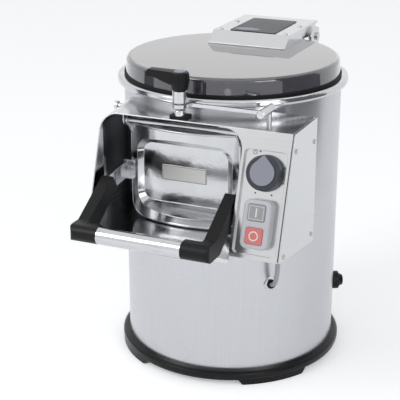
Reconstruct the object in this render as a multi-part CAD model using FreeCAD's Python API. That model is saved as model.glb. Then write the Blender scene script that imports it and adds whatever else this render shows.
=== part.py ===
"""Electric potato peeler with a brushed steel drum, a tilting lid and a front chute.

Origin at the floor under the middle of the length, +Z up, the chute faces -Y, the controls
are at +X. Every piece is drawn about the drum's axis and moved to its place when it is saved.
All sizes are in millimetres.
"""
import FreeCAD, Part
import math
import os

V = FreeCAD.Vector

# Distance of the drum's axis behind the origin
DRUM_AXIS_Y = 61.0

# Drum and its base
DRUM_R = 165.0
DRUM_WALL = 1.2
DRUM_TOP = 433.0
BASE_OVERHANG = 10.5
BASE_LIP_TOP = 21.0
BASE_SHOULDER = 12.0
BASE_UNDERSIDE = 7.0
BASE_SEAT_WIDTH = 15.0
FOOT_ANGLE = 36.0
FOOT_END_SLOPE = 7.0
FOOT_COUNT = 4
FOOT_WIDTH = 22.0
BOTTOM_PLATE_T = 1.5
BOTTOM_SLOT_COUNT = 12

# Rim bead rolled round the drum's mouth
RIM_HEIGHT = 11.0
RIM_OUT = 10.0
RIM_IN = 4.0
RIM_ROUND = 4.0
RIM_SPIGOT = 6.0

# Lid
LID_SEAT_GAP = 0.3
GASKET_T = 1.8
GASKET_FOOT = 5.0
GASKET_COLLAR = 2.0
LID_INSET = 2.0
LID_HEIGHT = 25.0
LID_WALL = 3.0
LID_SHOULDER = 6.0

# Folded hinge box on top of the lid
HBOX_HALF = 64.0
HBOX_NOSE_Y = DRUM_R - 112.0
HBOX_FRONT_Y = HBOX_NOSE_Y + 23.0
HBOX_REAR_Y = DRUM_R + 47.0
HBOX_NOSE_RISE = 2.0
HBOX_RISE = 18.0
HBOX_SHEET = 1.5
INLAY_HALF = 38.0
INLAY_FRONT_Y = HBOX_FRONT_Y + 2.0
INLAY_REAR_Y = HBOX_REAR_Y - 26.0
INLAY_T = 1.0
HBOX_SCREW_X = 54.0
HBOX_SCREW_ROWS = (HBOX_FRONT_Y + 8.0, HBOX_FRONT_Y + 76.0)
HBOX_SCREW_R = 3.6
HBOX_SCREW_HEAD = 2.0

# Rear lid hinge
LID_HINGE_Y = DRUM_R + 23.0
LID_HINGE_Z = 468.0
LID_PIN_R = 4.0
LID_ARM_R = 11.0
EAR_X = 70.0
EAR_T = 3.0
EAR_R = 15.0
EAR_FOOT_Z = 392.0
EAR_BACK_PLATE = 2.0
PIN_RUN_CLEAR = 0.06
PIN_OVERHANG = 4.0
PIN_HEAD_R = 6.5
PIN_HEAD_T = 3.0

# Chute and control housing
TOP_Z = 423.5
TOP_FRONT_Y = -(DRUM_R + 51.0)
FRONT_SLOPE = 0.3264
SHEET = 1.5
LEFT_X = -111.0
LEFT_REAR_X = -129.5
LEFT_REAR_REACH = DRUM_R - 65.0
LEFT_CORNER_R = 25.0
SHELL_RIGHT_X = 173.5
COVER_X = 175.5
HOUSING_REAR_Y = -(DRUM_R - 40.0)
BOX_BOTTOM_FRONT_Z = 260.0
BOX_BOTTOM_REAR_Z = 241.0
DIVIDER_X = 105.0
DIVIDER_CORNER_R = 28.0
CHUTE_FLOOR_Z = 255.5
CHUTE_LIP = 5.0
COVER_INSET = 3.0
COVER_RETURN = 3.0
SIDE_SCREW_R = 3.4
SIDE_SCREW_HEAD = 1.8
SIDE_SCREWS = ((HOUSING_REAR_Y - 9.0, 391.0), (TOP_FRONT_Y + 5.0, 399.0), (HOUSING_REAR_Y - 9.0, 254.0),
                (TOP_FRONT_Y - 34.0, 263.0))

# Controls, placed on the sloping front
PLATE_DEPTH = 5.0
RECESS_LEFT_X = 109.0
RECESS_RIGHT_X = 170.0
RECESS_TOP_Z = 399.0
RECESS_BOTTOM_Z = 266.0
RECESS_R = 6.0
PLATE_MARGIN = 2.0
CONTROL_X = 141.5
KNOB_Z = 371.0
KNOB_R = 25.0
KNOB_H = 15.0
KNOB_ROUND = 2.0
KNOB_LIFT = 0.8
POINTER_R = 17.0
POINTER_TIP = 23.0
POINTER_TIP_R = 2.5
POINTER_H = 2.0
TIMER_SHAFT_R = 3.0
TIMER_SHAFT_IN = 16.0
TIMER_BODY_R = 22.0
TIMER_BODY_L = 30.0
SHAFT_CLEAR = 0.06
SWITCH_Z = 306.0
SWITCH_W = 39.0
SWITCH_H = 66.0
SWITCH_D = 18.0
SWITCH_R = 9.0
SWITCH_WALL = 2.5
BUTTON_W = 24.0
BUTTON_H = 22.0
BUTTON_R = 2.5
BUTTON_LEN = 13.0
BUTTON_PROUD = 1.5
BUTTON_OFFSET = 15.5
BUTTON_CLEAR = 0.35
BUTTON_TRAVEL = 3.0
SWITCH_BLOCK_W = 30.0
SWITCH_BLOCK_H = 58.0
SWITCH_BLOCK_L = 26.0

# Discharge door, its frame and hinge
DOOR_X = -4.0
DOOR_HALF = 86.0
DOOR_BOTTOM = 258.0
DOOR_TOP = 398.0
DOOR_FACE_R = DRUM_R + 25.0
DOOR_SHEET = 1.5
DOOR_EDGE_RETURN = 4.5
DOOR_LOW_R = 24.0
DOOR_HIGH_R = 10.0
DISH_FLOOR_Y = -(DOOR_FACE_R - 23.0)
DISH_HALF = 66.0
DISH_BOTTOM = 283.0
DISH_TOP = 371.0
DISH_R = 15.0
DISH_DRAFT_Z = 0.55
DISH_DRAFT_X = 1.1
THROAT_HALF = 81.0
THROAT_BOTTOM = 265.0
THROAT_TOP = 395.0
THROAT_R = 14.0
THROAT_WALL = 3.0
SEAL_T = 1.8
SEAL_GAP = 0.35
SEAL_INSET = 0.5
SEAL_OVERLAP = 1.5
DOOR_HINGE_Y = -(DOOR_FACE_R - 13.0)
DOOR_HINGE_Z = 403.0
DOOR_PIN_R = 3.5
DOOR_EYE_R = 7.5
DOOR_EYE_T = 2.0
HINGE_BRACKET_GAP = 2.0
HINGE_BRACKET_T = 2.0
HINGE_BRACKET_DROP = 7.0
HINGE_BRACKET_HALF = 9.0
LABEL_W = 70.0
LABEL_H = 23.0
LABEL_T = 0.8
LABEL_X = -6.0
LABEL_Z = 328.5

# U-shaped door handle
GRIP_Y = TOP_FRONT_Y - 106.0
GRIP_Z = 282.0
GRIP_R = 12.0
GRIP_HALF = 62.0
HANDLE_HALF = 102.5
ARM_W = 17.0
ARM_DEPTH = 24.0
ARM_TOP_Y = -(DOOR_FACE_R + 38.0)
ARM_TOP_Z = 326.0
CORNER_BACK_Y = GRIP_Y + 22.0
CORNER_R = 7.0
TAB_X = 84.0
TAB_OUT_X = 104.0
TAB_LAP = 2.0
TAB_Y = -(DOOR_FACE_R - 18.0)
TAB_T = 3.0
TAB_TOP = 341.0
TAB_BOTTOM = 312.0
BRACKET_X = 95.0
BRACKET_T = 3.0
BRACKET_GRIP = 24.0
BRACKET_HEIGHT = 16.0
BOLT_X = 89.5
BOLT_Z = 327.0
BOLT_R = 4.5
BOLT_HEAD = 3.0

# Clamp post, tie bar and barrel above the chute
CLAMP_X = 3.0
CLAMP_Y = TOP_FRONT_Y + 16.0
CLAMP_PAD_W = 27.0
CLAMP_PAD_D = 20.0
CLAMP_PAD_T = 3.0
CLAMP_FOOT_R = 8.5
CLAMP_FOOT_H = 11.0
CLAMP_SHAFT_R = 4.5
SLEEVE_R = 10.5
SLEEVE_Z0 = 444.0
SLEEVE_Z1 = 462.0
HUB_R = 12.5
HUB_H = 25.0
HUB_LIFT = 0.35
HUB_ROUND = 2.0
HUB_BORE_ROOF = 6.0
LEVER_REACH = 52.0
LEVER_ROOT_H = 17.0
LEVER_TIP_H = 8.0
LEVER_ROOT_W = 18.0
LEVER_TIP_W = 12.0
CAP_R = 8.0
CAP_H = 1.2
TIE_Y = CLAMP_Y + 10.0
TIE_Z = 440.0
TIE_H = 5.0
TIE_T = 4.0
BARREL_X = 122.0
BARREL_R = 6.0
BARREL_FRONT_Y = TOP_FRONT_Y + 13.0
BARREL_REAR_Y = BARREL_FRONT_Y + 45.0
BARREL_STUD_R = 3.5
SIDE_BOLT_R = 6.0
SIDE_BOLT_HEAD = 4.5
SIDE_BOLT_OUT = 8.0
SIDE_BOLT_Y = TOP_FRONT_Y + 66.0
SIDE_BOLT_Z = 415.0

# Peeling chamber
LINER_GAP = 0.4
LINER_T = 5.0
LINER_TOP = 426.0
FLOOR_Z = 205.0
FLOOR_T = 6.0
PLATE_GAP = 5.4
PLATE_R = DRUM_R - DRUM_WALL - LINER_GAP - LINER_T - PLATE_GAP
PLATE_Z = 209.0
PLATE_T = 6.0
PLATE_RIM = 7.0
RIDGE_COUNT = 4
RIDGE_R = 9.0
RIDGE_RISE = 5.0
RIDGE_IN = 34.0
RIDGE_OUT = PLATE_R - 21.0
PLATE_HUB_R = 26.0
PLATE_HUB_H = 12.0
PLATE_CAP_R = 15.0
PLATE_CAP_H = 12.0
PADDLE_T = 6.0
PADDLE_H = 2.5

# Spindle, its bearings and the belt drive
SPINDLE_R = 10.0
SPINDLE_BOTTOM = 112.0
BEARING_R = 21.0
BEARING_W = 12.0
HOUSING_R = 29.0
HOUSING_BOTTOM = 146.0
FLANGE_R = 46.0
FLANGE_T = 7.0
RUN_CLEAR = 0.05
SEAL_LIP = 1.0
PULLEY_R = 65.0
PULLEY_W = 14.0
PULLEY_FLANGE = 3.0
PULLEY_Z = 118.0
PULLEY_HUB_R = 18.0
MOTOR_PULLEY_R = 20.0
BELT_T = 3.0
BELT_GAP = 0.35
MOTOR_X = -98.0
MOTOR_R = 52.0
MOTOR_BOTTOM = 22.0
MOTOR_TOP = 106.0
MOTOR_SHAFT_R = 7.0
MOTOR_SPIGOT_R = 18.0
MOTOR_SPIGOT_H = 3.0
MOTOR_FIN_COUNT = 16
MOTOR_FIN = 3.0
MOUNT_T = 4.0
POST_R = 5.0
POST_IN = (-40.0, 70.0)
POST_OUT = (-138.0, 50.0)

# Water inlet, waste outlet, cable gland and control cable
INLET_ANGLE = 205.0
INLET_Z = 372.0
INLET_BODY_R = 9.0
INLET_NUT_R = 15.0
INLET_NUT_T = 8.0
INLET_TAIL_R = 13.2
INLET_TAIL_L = 18.0
INLET_BORE_R = 6.0
INLET_NOZZLE_IN = 4.0
DRAIN_Y = DRUM_R - 43.0
DRAIN_R = 22.0
DRAIN_WALL = 2.0
DRAIN_Z = 118.0
DRAIN_BEND = 34.0
DRAIN_OUT = 36.0
DRAIN_FLANGE = 6.0
DRAIN_COLLAR = 4.0
GLAND_ANGLE = 118.0
GLAND_Z = 91.0
GLAND_R = 14.5
GLAND_L = 12.0
GLAND_DOME_R = 11.0
GLAND_DOME_L = 7.0
GLAND_BORE_R = 4.5
CABLE_R = 3.5
CABLE_ANGLE = 43.0
CABLE_OUT = 24.0
CABLE_ENTRY_Z = 160.0
GROMMET_R = 7.0
GROMMET_OUT = 4.0


def save(name, shape):
    """Move one sub-part from the drum's axis to its place and write it to its own file."""
    shape.translate(V(0, DRUM_AXIS_Y, 0))
    shape.exportStep("parts/" + name + ".step")


def fuse(shapes):
    """Join solids into one and merge the faces that they share."""
    result = shapes[0]
    for shape in shapes[1:]:
        result = result.fuse(shape)
    return result.removeSplitter()


def cylinder(radius, z0, z1, x=0.0, y=0.0):
    return Part.makeCylinder(radius, z1 - z0, V(x, y, z0))


def tube(outer, inner, z0, z1, x=0.0, y=0.0):
    return cylinder(outer, z0, z1, x, y).cut(cylinder(inner, z0, z1, x, y))


def block(x0, x1, y0, y1, z0, z1):
    return Part.makeBox(x1 - x0, y1 - y0, z1 - z0, V(x0, y0, z0))


def rod_x(radius, x0, x1, y, z):
    return Part.makeCylinder(radius, x1 - x0, V(x0, y, z), V(1, 0, 0))


def corner_wire(corners, to_space):
    """Closed outline through (a, b, radius) corners, rounded by tangent arcs."""
    edges = []
    ends = []
    count = len(corners)
    for i in range(count):
        a, b, radius = corners[i]
        here = V(a, b, 0)
        back = V(corners[i - 1][0], corners[i - 1][1], 0) - here
        ahead = V(corners[(i + 1) % count][0], corners[(i + 1) % count][1], 0) - here
        if radius <= 0:
            ends.append((here, None, here))
            continue
        half = back.getAngle(ahead) / 2
        back.normalize()
        ahead.normalize()
        reach = radius / math.tan(half)
        bisector = back + ahead
        bisector.normalize()
        middle = here + bisector * (radius / math.sin(half) - radius)
        ends.append((here + back * reach, middle, here + ahead * reach))
    for i in range(count):
        start, middle, end = ends[i]
        if middle is not None:
            edges.append(Part.Arc(to_space(start), to_space(middle), to_space(end)).toShape())
        following = ends[(i + 1) % count][0]
        if (following - end).Length > 1e-6:
            edges.append(Part.LineSegment(to_space(end), to_space(following)).toShape())
    return Part.Wire(edges)


def prism_xy(corners, z0, z1):
    wire = corner_wire(corners, lambda p: V(p.x, p.y, z0))
    return Part.Face(wire).extrude(V(0, 0, z1 - z0))


def prism_xz(corners, y0, y1):
    wire = corner_wire(corners, lambda p: V(p.x, y0, p.y))
    return Part.Face(wire).extrude(V(0, y1 - y0, 0))


def prism_yz(corners, x0, x1):
    wire = corner_wire(corners, lambda p: V(x0, p.x, p.y))
    return Part.Face(wire).extrude(V(x1 - x0, 0, 0))


def rectangle(a0, a1, b0, b1, low_radius, high_radius=None):
    """Corners of a rectangle with its lower and upper corner radii."""
    if high_radius is None:
        high_radius = low_radius
    return [(a0, b0, low_radius), (a1, b0, low_radius), (a1, b1, high_radius), (a0, b1, high_radius)]


def revolve(points):
    """Solid of revolution about Z from (radius, z) points."""
    wire = Part.makePolygon([V(r, 0, z) for r, z in points] + [V(points[0][0], 0, points[0][1])])
    return Part.Face(wire).revolve(V(0, 0, 0), V(0, 0, 1), 360)


def turned(corners):
    """Solid of revolution about Z from (radius, z, corner radius) corners."""
    wire = corner_wire(corners, lambda p: V(p.x, 0, p.y))
    return Part.Face(wire).revolve(V(0, 0, 0), V(0, 0, 1), 360)


def inset(corners, distance):
    """Move every side of a convex outline inward by one distance."""
    count = len(corners)
    area = sum(corners[i - 1][0] * corners[i][1] - corners[i][0] * corners[i - 1][1] for i in range(count))
    side = 1.0 if area > 0 else -1.0
    lines = []
    for i in range(count):
        a0, b0, _ = corners[i]
        a1, b1, _ = corners[(i + 1) % count]
        length = math.hypot(a1 - a0, b1 - b0)
        normal = (-side * (b1 - b0) / length, side * (a1 - a0) / length)
        lines.append((normal, normal[0] * a0 + normal[1] * b0 + distance))
    moved = []
    for i in range(count):
        (p, q), c = lines[i - 1]
        (r, s), d = lines[i]
        scale = p * s - q * r
        moved.append(((c * s - q * d) / scale, (p * d - c * r) / scale, max(corners[i][2] - distance, 0)))
    return moved


def outward(shape, angle, z, radius=0.0):
    """Turn a shape made along +Z so that it points out of the drum; angle 0 is the front."""
    turn = FreeCAD.Rotation(V(0, 0, 1), angle - 90).multiply(FreeCAD.Rotation(V(0, 1, 0), 90))
    direction = turn.multVec(V(0, 0, 1))
    moved = shape.copy()
    moved.Placement = FreeCAD.Placement(direction * radius + V(0, 0, z), turn)
    return moved


SLOPE_ANGLE = math.degrees(math.atan2(1.0, FRONT_SLOPE))


def on_front(shape, x, z):
    """Move a shape made on XY, +Z outward, onto the sloping front at height z."""
    face_y = TOP_FRONT_Y - (TOP_Z - z) * FRONT_SLOPE
    moved = shape.copy()
    moved.Placement = FreeCAD.Placement(V(x, face_y, z), FreeCAD.Rotation(V(1, 0, 0), SLOPE_ANGLE))
    return moved


def front_cut(depth):
    """Everything in front of the sloping front face, moved in by depth."""
    length = math.hypot(1.0, FRONT_SLOPE)
    y_shift = depth / length
    z_shift = -depth * FRONT_SLOPE / length
    reach = 250.0
    top = (TOP_FRONT_Y + reach * FRONT_SLOPE + y_shift, TOP_Z + reach + z_shift, 0)
    bottom = (TOP_FRONT_Y - reach * FRONT_SLOPE + y_shift, TOP_Z - reach + z_shift, 0)
    far = TOP_FRONT_Y - 2 * reach
    return prism_yz([top, bottom, (far, bottom[1], 0), (far, top[1], 0)], -2 * reach, 2 * reach)


def slope_distance(z0, z1):
    """Length measured down the sloping front between two heights."""
    return (z1 - z0) * math.hypot(1.0, FRONT_SLOPE)


def door_outline(grow):
    return rectangle(DOOR_X - DOOR_HALF - grow, DOOR_X + DOOR_HALF + grow,
                     DOOR_BOTTOM - grow, DOOR_TOP + grow, DOOR_LOW_R + grow, DOOR_HIGH_R + grow)


def throat_outline(shrink):
    return rectangle(DOOR_X - THROAT_HALF + shrink, DOOR_X + THROAT_HALF - shrink,
                     THROAT_BOTTOM + shrink, THROAT_TOP - shrink, THROAT_R - shrink)


def throat_block(shrink):
    return prism_xz(throat_outline(shrink), -DOOR_FACE_R - 10, 0)


# Base and drum

def make_base_ring():
    inner = DRUM_R - BASE_SEAT_WIDTH
    outer = DRUM_R + BASE_OVERHANG
    ring = turned([(inner, BASE_UNDERSIDE, 0), (outer - 1.5, BASE_UNDERSIDE, 2), (outer, BASE_UNDERSIDE + 4, 2),
                   (outer, BASE_LIP_TOP - 3, 2.5), (outer - 4, BASE_LIP_TOP, 2), (DRUM_R, BASE_LIP_TOP, 0),
                   (DRUM_R, BASE_SHOULDER, 0), (inner, BASE_SHOULDER, 0)])
    band = tube(outer - 0.5, outer - FOOT_WIDTH, 0, BASE_UNDERSIDE + 2)
    half = outer * math.tan(math.radians(FOOT_ANGLE / 2))
    profile = [(-half, BASE_UNDERSIDE + 2, 0), (-half + FOOT_END_SLOPE, 0, 3),
               (half - FOOT_END_SLOPE, 0, 3), (half, BASE_UNDERSIDE + 2, 0)]
    foot = band.common(prism_yz(profile, 0, outer + 5))
    feet = []
    for i in range(FOOT_COUNT):
        copy = foot.copy()
        copy.rotate(V(0, 0, 0), V(0, 0, 1), (i + 0.5) * 360.0 / FOOT_COUNT)
        feet.append(copy)
    return fuse([ring] + feet)


def make_bottom_plate():
    plate = cylinder(DRUM_R - DRUM_WALL - 0.5, BASE_SHOULDER, BASE_SHOULDER + BOTTOM_PLATE_T)
    slot = prism_xy(rectangle(80, 125, -3, 3, 2.9), BASE_SHOULDER - 1, BASE_SHOULDER + BOTTOM_PLATE_T + 1)
    for i in range(BOTTOM_SLOT_COUNT):
        copy = slot.copy()
        copy.rotate(V(0, 0, 0), V(0, 0, 1), i * 360.0 / BOTTOM_SLOT_COUNT)
        plate = plate.cut(copy)
    return plate


def drum_holes():
    """Everything that passes through the drum wall."""
    return [throat_block(0),
            outward(Part.makeCylinder(GLAND_DOME_R, 20), GLAND_ANGLE, GLAND_Z, DRUM_R - 10),
            outward(Part.makeCylinder(CABLE_R, 20), CABLE_ANGLE, CABLE_ENTRY_Z, DRUM_R - 10),
            outward(Part.makeCylinder(INLET_BODY_R, 30), INLET_ANGLE, INLET_Z, DRUM_R - 20),
            Part.makeCylinder(DRAIN_R, 40, V(0, DRUM_R - 30, DRAIN_Z), V(0, 1, 0))]


def make_drum_shell():
    shell = tube(DRUM_R, DRUM_R - DRUM_WALL, BASE_SHOULDER, DRUM_TOP)
    for hole in drum_holes():
        shell = shell.cut(hole)
    return shell


def make_rim_bead():
    inside = DRUM_R - DRUM_WALL
    return turned([(inside - RIM_IN, DRUM_TOP - RIM_SPIGOT, 0), (inside, DRUM_TOP - RIM_SPIGOT, 0),
                   (inside, DRUM_TOP, 0), (DRUM_R + RIM_OUT, DRUM_TOP, RIM_ROUND),
                   (DRUM_R + RIM_OUT, DRUM_TOP + RIM_HEIGHT, RIM_ROUND),
                   (inside - RIM_IN, DRUM_TOP + RIM_HEIGHT, 1.5)])


def make_liner():
    outer = DRUM_R - DRUM_WALL - LINER_GAP
    liner = tube(outer, outer - LINER_T, FLOOR_Z, LINER_TOP)
    nozzle = outward(Part.makeCylinder(INLET_BODY_R, 30), INLET_ANGLE, INLET_Z, DRUM_R - 20)
    return liner.cut(throat_block(0)).cut(nozzle)


def make_chamber_floor():
    outer = DRUM_R - DRUM_WALL - LINER_GAP
    floor = cylinder(outer, FLOOR_Z - FLOOR_T, FLOOR_Z).cut(cylinder(BEARING_R, FLOOR_Z - FLOOR_T, FLOOR_Z))
    return floor.cut(cylinder(DRAIN_R, FLOOR_Z - FLOOR_T - 1, FLOOR_Z + 1, 0, DRAIN_Y))


# Lid

LID_GASKET_Z = DRUM_TOP + RIM_HEIGHT + LID_SEAT_GAP
LID_BASE = LID_GASKET_Z + GASKET_T
LID_TOP = LID_BASE + LID_HEIGHT
LID_R = DRUM_R - LID_INSET
HBOX_TOP = LID_TOP + HBOX_RISE


def make_lid_gasket():
    inner = LID_R - GASKET_FOOT
    outer = LID_R + GASKET_COLLAR
    return revolve([(inner, LID_GASKET_Z), (outer, LID_GASKET_Z), (outer, LID_BASE + 1.5),
                    (LID_R, LID_BASE + 1.5), (LID_R, LID_BASE), (inner, LID_BASE)])


def make_lid_dome():
    inner = LID_R - LID_WALL
    corners = [(0, LID_TOP, 0), (0, LID_TOP - LID_WALL, 0),
               (inner - 1.5, LID_TOP - LID_WALL, LID_SHOULDER - LID_WALL), (inner, LID_BASE, 0),
               (LID_R, LID_BASE, 0), (LID_R - 1.5, LID_TOP, LID_SHOULDER)]
    return turned(corners)


def make_hinge_box():
    low = LID_TOP
    outline = [(HBOX_NOSE_Y, low, 0), (HBOX_NOSE_Y, low + HBOX_NOSE_RISE, 0), (HBOX_FRONT_Y, HBOX_TOP, 0),
               (HBOX_REAR_Y, HBOX_TOP, 0), (HBOX_REAR_Y, HBOX_TOP - 2 * HBOX_SHEET, 0),
               (LID_HINGE_Y + LID_ARM_R + 2, HBOX_TOP - 3 * HBOX_SHEET, 4), (LID_HINGE_Y + LID_ARM_R, LID_HINGE_Z, 6),
               (LID_HINGE_Y + 3, LID_HINGE_Z - LID_ARM_R, 6), (LID_HINGE_Y - LID_ARM_R, LID_HINGE_Z - LID_ARM_R, 6),
               (DRUM_R + 6, low, 4)]
    solid = prism_yz(outline, -HBOX_HALF, HBOX_HALF)
    front = HBOX_SHEET
    hollow = [(HBOX_NOSE_Y + front, low - 30, 0), (HBOX_NOSE_Y + front, low + HBOX_NOSE_RISE - front * 0.5, 0),
              (HBOX_FRONT_Y + front * 0.5, HBOX_TOP - front, 0), (HBOX_REAR_Y + 5, HBOX_TOP - front, 0),
              (HBOX_REAR_Y + 5, low - 30, 0)]
    solid = solid.cut(prism_yz(hollow, -HBOX_HALF + HBOX_SHEET, HBOX_HALF - HBOX_SHEET))
    return solid.cut(rod_x(LID_PIN_R + PIN_RUN_CLEAR, -HBOX_HALF - 1, HBOX_HALF + 1, LID_HINGE_Y, LID_HINGE_Z))


def make_hinge_inlay():
    return prism_xy(rectangle(-INLAY_HALF, INLAY_HALF, INLAY_FRONT_Y, INLAY_REAR_Y, 5), HBOX_TOP, HBOX_TOP + INLAY_T)


def make_hinge_box_screws():
    screws = []
    for x in (-HBOX_SCREW_X, HBOX_SCREW_X):
        for y in HBOX_SCREW_ROWS:
            head = cylinder(HBOX_SCREW_R, HBOX_TOP, HBOX_TOP + HBOX_SCREW_HEAD, x, y)
            screws.append(head.makeFillet(0.8, [head.Edges[0]]))
    return Part.makeCompound(screws)


def make_lid_hinge_bracket():
    ears = []
    for side in (-1, 1):
        x0 = side * EAR_X - EAR_T / 2
        outline = [(DRUM_R * 0.8, EAR_FOOT_Z, 0), (DRUM_R * 0.8, LID_HINGE_Z - EAR_R, 0),
                   (LID_HINGE_Y - EAR_R - 6, LID_HINGE_Z + 8, 6), (LID_HINGE_Y - 6, LID_HINGE_Z + EAR_R, 6),
                   (LID_HINGE_Y + EAR_R * 0.6, LID_HINGE_Z + EAR_R, 8), (LID_HINGE_Y + EAR_R, LID_HINGE_Z - 4, 8),
                   (DRUM_R + 6, EAR_FOOT_Z + 12, 10), (DRUM_R - 4, EAR_FOOT_Z, 0)]
        ears.append(prism_yz(outline, x0, x0 + EAR_T))
    back = tube(DRUM_R + EAR_BACK_PLATE, DRUM_R, EAR_FOOT_Z, DRUM_TOP - 1)
    back = back.common(block(-EAR_X - EAR_T / 2, EAR_X + EAR_T / 2, 0, DRUM_R + 20, 0, DRUM_TOP))
    bracket = fuse([back] + ears)
    bracket = bracket.cut(cylinder(DRUM_R, 0, DRUM_TOP + 1))
    bracket = bracket.cut(cylinder(DRUM_R + RIM_OUT + 0.3, DRUM_TOP - 0.3, LID_HINGE_Z + 60))
    return bracket.cut(rod_x(LID_PIN_R, -EAR_X - 5, EAR_X + 5, LID_HINGE_Y, LID_HINGE_Z))


def make_lid_hinge_pin():
    end = EAR_X + EAR_T / 2
    shaft = rod_x(LID_PIN_R, -end - PIN_OVERHANG, end, LID_HINGE_Y, LID_HINGE_Z)
    head = rod_x(PIN_HEAD_R, end, end + PIN_HEAD_T, LID_HINGE_Y, LID_HINGE_Z)
    return fuse([shaft, head])


# Chute and control housing

def housing_section(y, left, grow_in, right):
    """Outline of the housing across the chute, open at the right when it is the inside."""
    radius = LEFT_CORNER_R - grow_in
    low = BOX_BOTTOM_REAR_Z - 10
    corners = [(left + grow_in, low, 0), (right, low, 0), (right, TOP_Z - grow_in, 0),
               (left + grow_in, TOP_Z - grow_in, radius)]
    return corner_wire(corners, lambda p: V(p.x, y, p.y))


def housing_block(grow_in, right):
    """Lofted body of the housing; its left wall flares out to the drum."""
    wires = [housing_section(TOP_FRONT_Y - 80, LEFT_X, grow_in, right),
             housing_section(TOP_FRONT_Y, LEFT_X, grow_in, right),
             housing_section(-LEFT_REAR_REACH, LEFT_REAR_X, grow_in, right)]
    return Part.makeLoft(wires, True, True)


def box_bottom_cut(raise_by):
    """Everything under the sloping bottom of the control box."""
    front_y = TOP_FRONT_Y - (TOP_Z - BOX_BOTTOM_FRONT_Z) * FRONT_SLOPE
    slope = (BOX_BOTTOM_REAR_Z - BOX_BOTTOM_FRONT_Z) / (HOUSING_REAR_Y - front_y)
    far_y = front_y - 60
    near_y = HOUSING_REAR_Y + 60
    z_far = BOX_BOTTOM_FRONT_Z - 60 * slope + raise_by
    z_near = BOX_BOTTOM_REAR_Z + 60 * slope + raise_by
    outline = [(far_y, z_far, 0), (near_y, z_near, 0), (near_y, z_near - 90, 0), (far_y, z_near - 90, 0)]
    return prism_yz(outline, DIVIDER_X, COVER_X + 40)


def make_housing_shell():
    low = BOX_BOTTOM_REAR_Z - 20
    outer = housing_block(0, SHELL_RIGHT_X).cut(front_cut(0))
    outer = outer.cut(block(0, 300, HOUSING_REAR_Y, 0, low, TOP_Z + 5))
    inner = housing_block(SHEET, SHELL_RIGHT_X + 5).cut(front_cut(SHEET))
    inner = inner.cut(block(0, 300, HOUSING_REAR_Y - SHEET, 0, low, TOP_Z + 5))
    shell = outer.cut(inner)
    mouth = prism_xz([(LEFT_X + SHEET, low, 0), (DIVIDER_X, low, 0), (DIVIDER_X, TOP_Z - SHEET, DIVIDER_CORNER_R),
                      (LEFT_X + SHEET, TOP_Z - SHEET, LEFT_CORNER_R - SHEET)],
                     TOP_FRONT_Y - 80, TOP_FRONT_Y + 10)
    shell = shell.cut(mouth)
    shell = shell.cut(block(-200, DIVIDER_X, -300, 0, low - 5, CHUTE_FLOOR_Z - SHEET))
    shell = shell.cut(box_bottom_cut(0))
    bottom = outer.common(box_bottom_cut(SHEET)).cut(box_bottom_cut(0))
    bottom = bottom.cut(block(-200, DIVIDER_X + SHEET, -300, 0, low - 5, TOP_Z))
    shell = fuse([shell, bottom])
    centre_z = (RECESS_TOP_Z + RECESS_BOTTOM_Z) / 2
    half = slope_distance(RECESS_BOTTOM_Z, RECESS_TOP_Z) / 2
    recess = prism_xy(rectangle(RECESS_LEFT_X, RECESS_RIGHT_X, -half, half, RECESS_R), -3 * SHEET, 3 * SHEET)
    shell = shell.cut(on_front(recess, 0, centre_z))
    return shell.cut(cylinder(DRUM_R, 0, TOP_Z + 20))


def cover_outline():
    front_z = BOX_BOTTOM_FRONT_Z
    front_y = TOP_FRONT_Y - (TOP_Z - front_z) * FRONT_SLOPE
    return [(TOP_FRONT_Y, TOP_Z, 2), (front_y, front_z, 4), (HOUSING_REAR_Y, BOX_BOTTOM_REAR_Z, 6),
            (HOUSING_REAR_Y, TOP_Z, 2)]


def make_side_cover():
    panel = prism_yz(cover_outline(), COVER_X, COVER_X + SHEET)
    flange = prism_yz(inset(cover_outline(), COVER_INSET), COVER_X - COVER_RETURN, COVER_X)
    hollow = prism_yz(inset(cover_outline(), COVER_INSET + SHEET), COVER_X - COVER_RETURN, COVER_X)
    return fuse([panel, flange.cut(hollow)])


def make_housing_screws():
    screws = []
    for y, z in SIDE_SCREWS:
        head = rod_x(SIDE_SCREW_R, COVER_X + SHEET, COVER_X + SHEET + SIDE_SCREW_HEAD, y, z)
        screws.append(head)
    return Part.makeCompound(screws + [make_side_bolt()])


def make_chute_divider():
    radius = DIVIDER_CORNER_R
    top = TOP_Z - SHEET
    outer = [(DIVIDER_X + SHEET, CHUTE_FLOOR_Z - SHEET, 0), (DIVIDER_X + SHEET, top, radius + SHEET),
             (DIVIDER_X - radius - 10, top, 0), (DIVIDER_X - radius - 10, top - SHEET, 0),
             (DIVIDER_X, top - SHEET, radius), (DIVIDER_X, CHUTE_FLOOR_Z - SHEET, 0)]
    sheet = prism_xz(outer, TOP_FRONT_Y - 80, -50)
    sheet = sheet.cut(front_cut(SHEET)).cut(cylinder(DRUM_R, 0, TOP_Z + 5))
    return sheet.cut(block(DIVIDER_X - 1, DIVIDER_X + 10, HOUSING_REAR_Y - SHEET, 0, 0, TOP_Z))


def make_chute_floor():
    left = LEFT_X + SHEET
    floor = block(left - 20, DIVIDER_X, TOP_FRONT_Y - 80, -60, CHUTE_FLOOR_Z - SHEET, CHUTE_FLOOR_Z)
    lip_y = TOP_FRONT_Y - (TOP_Z - CHUTE_FLOOR_Z) * FRONT_SLOPE
    floor = floor.common(block(-300, 300, lip_y, 0, 0, TOP_Z))
    lip = block(left, DIVIDER_X, lip_y, lip_y + SHEET, CHUTE_FLOOR_Z - SHEET - CHUTE_LIP, CHUTE_FLOOR_Z)
    inside = housing_block(SHEET, DIVIDER_X)
    low_lip = fuse([floor.common(inside), lip])
    return low_lip.cut(cylinder(DRUM_R, 0, TOP_Z))


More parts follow.
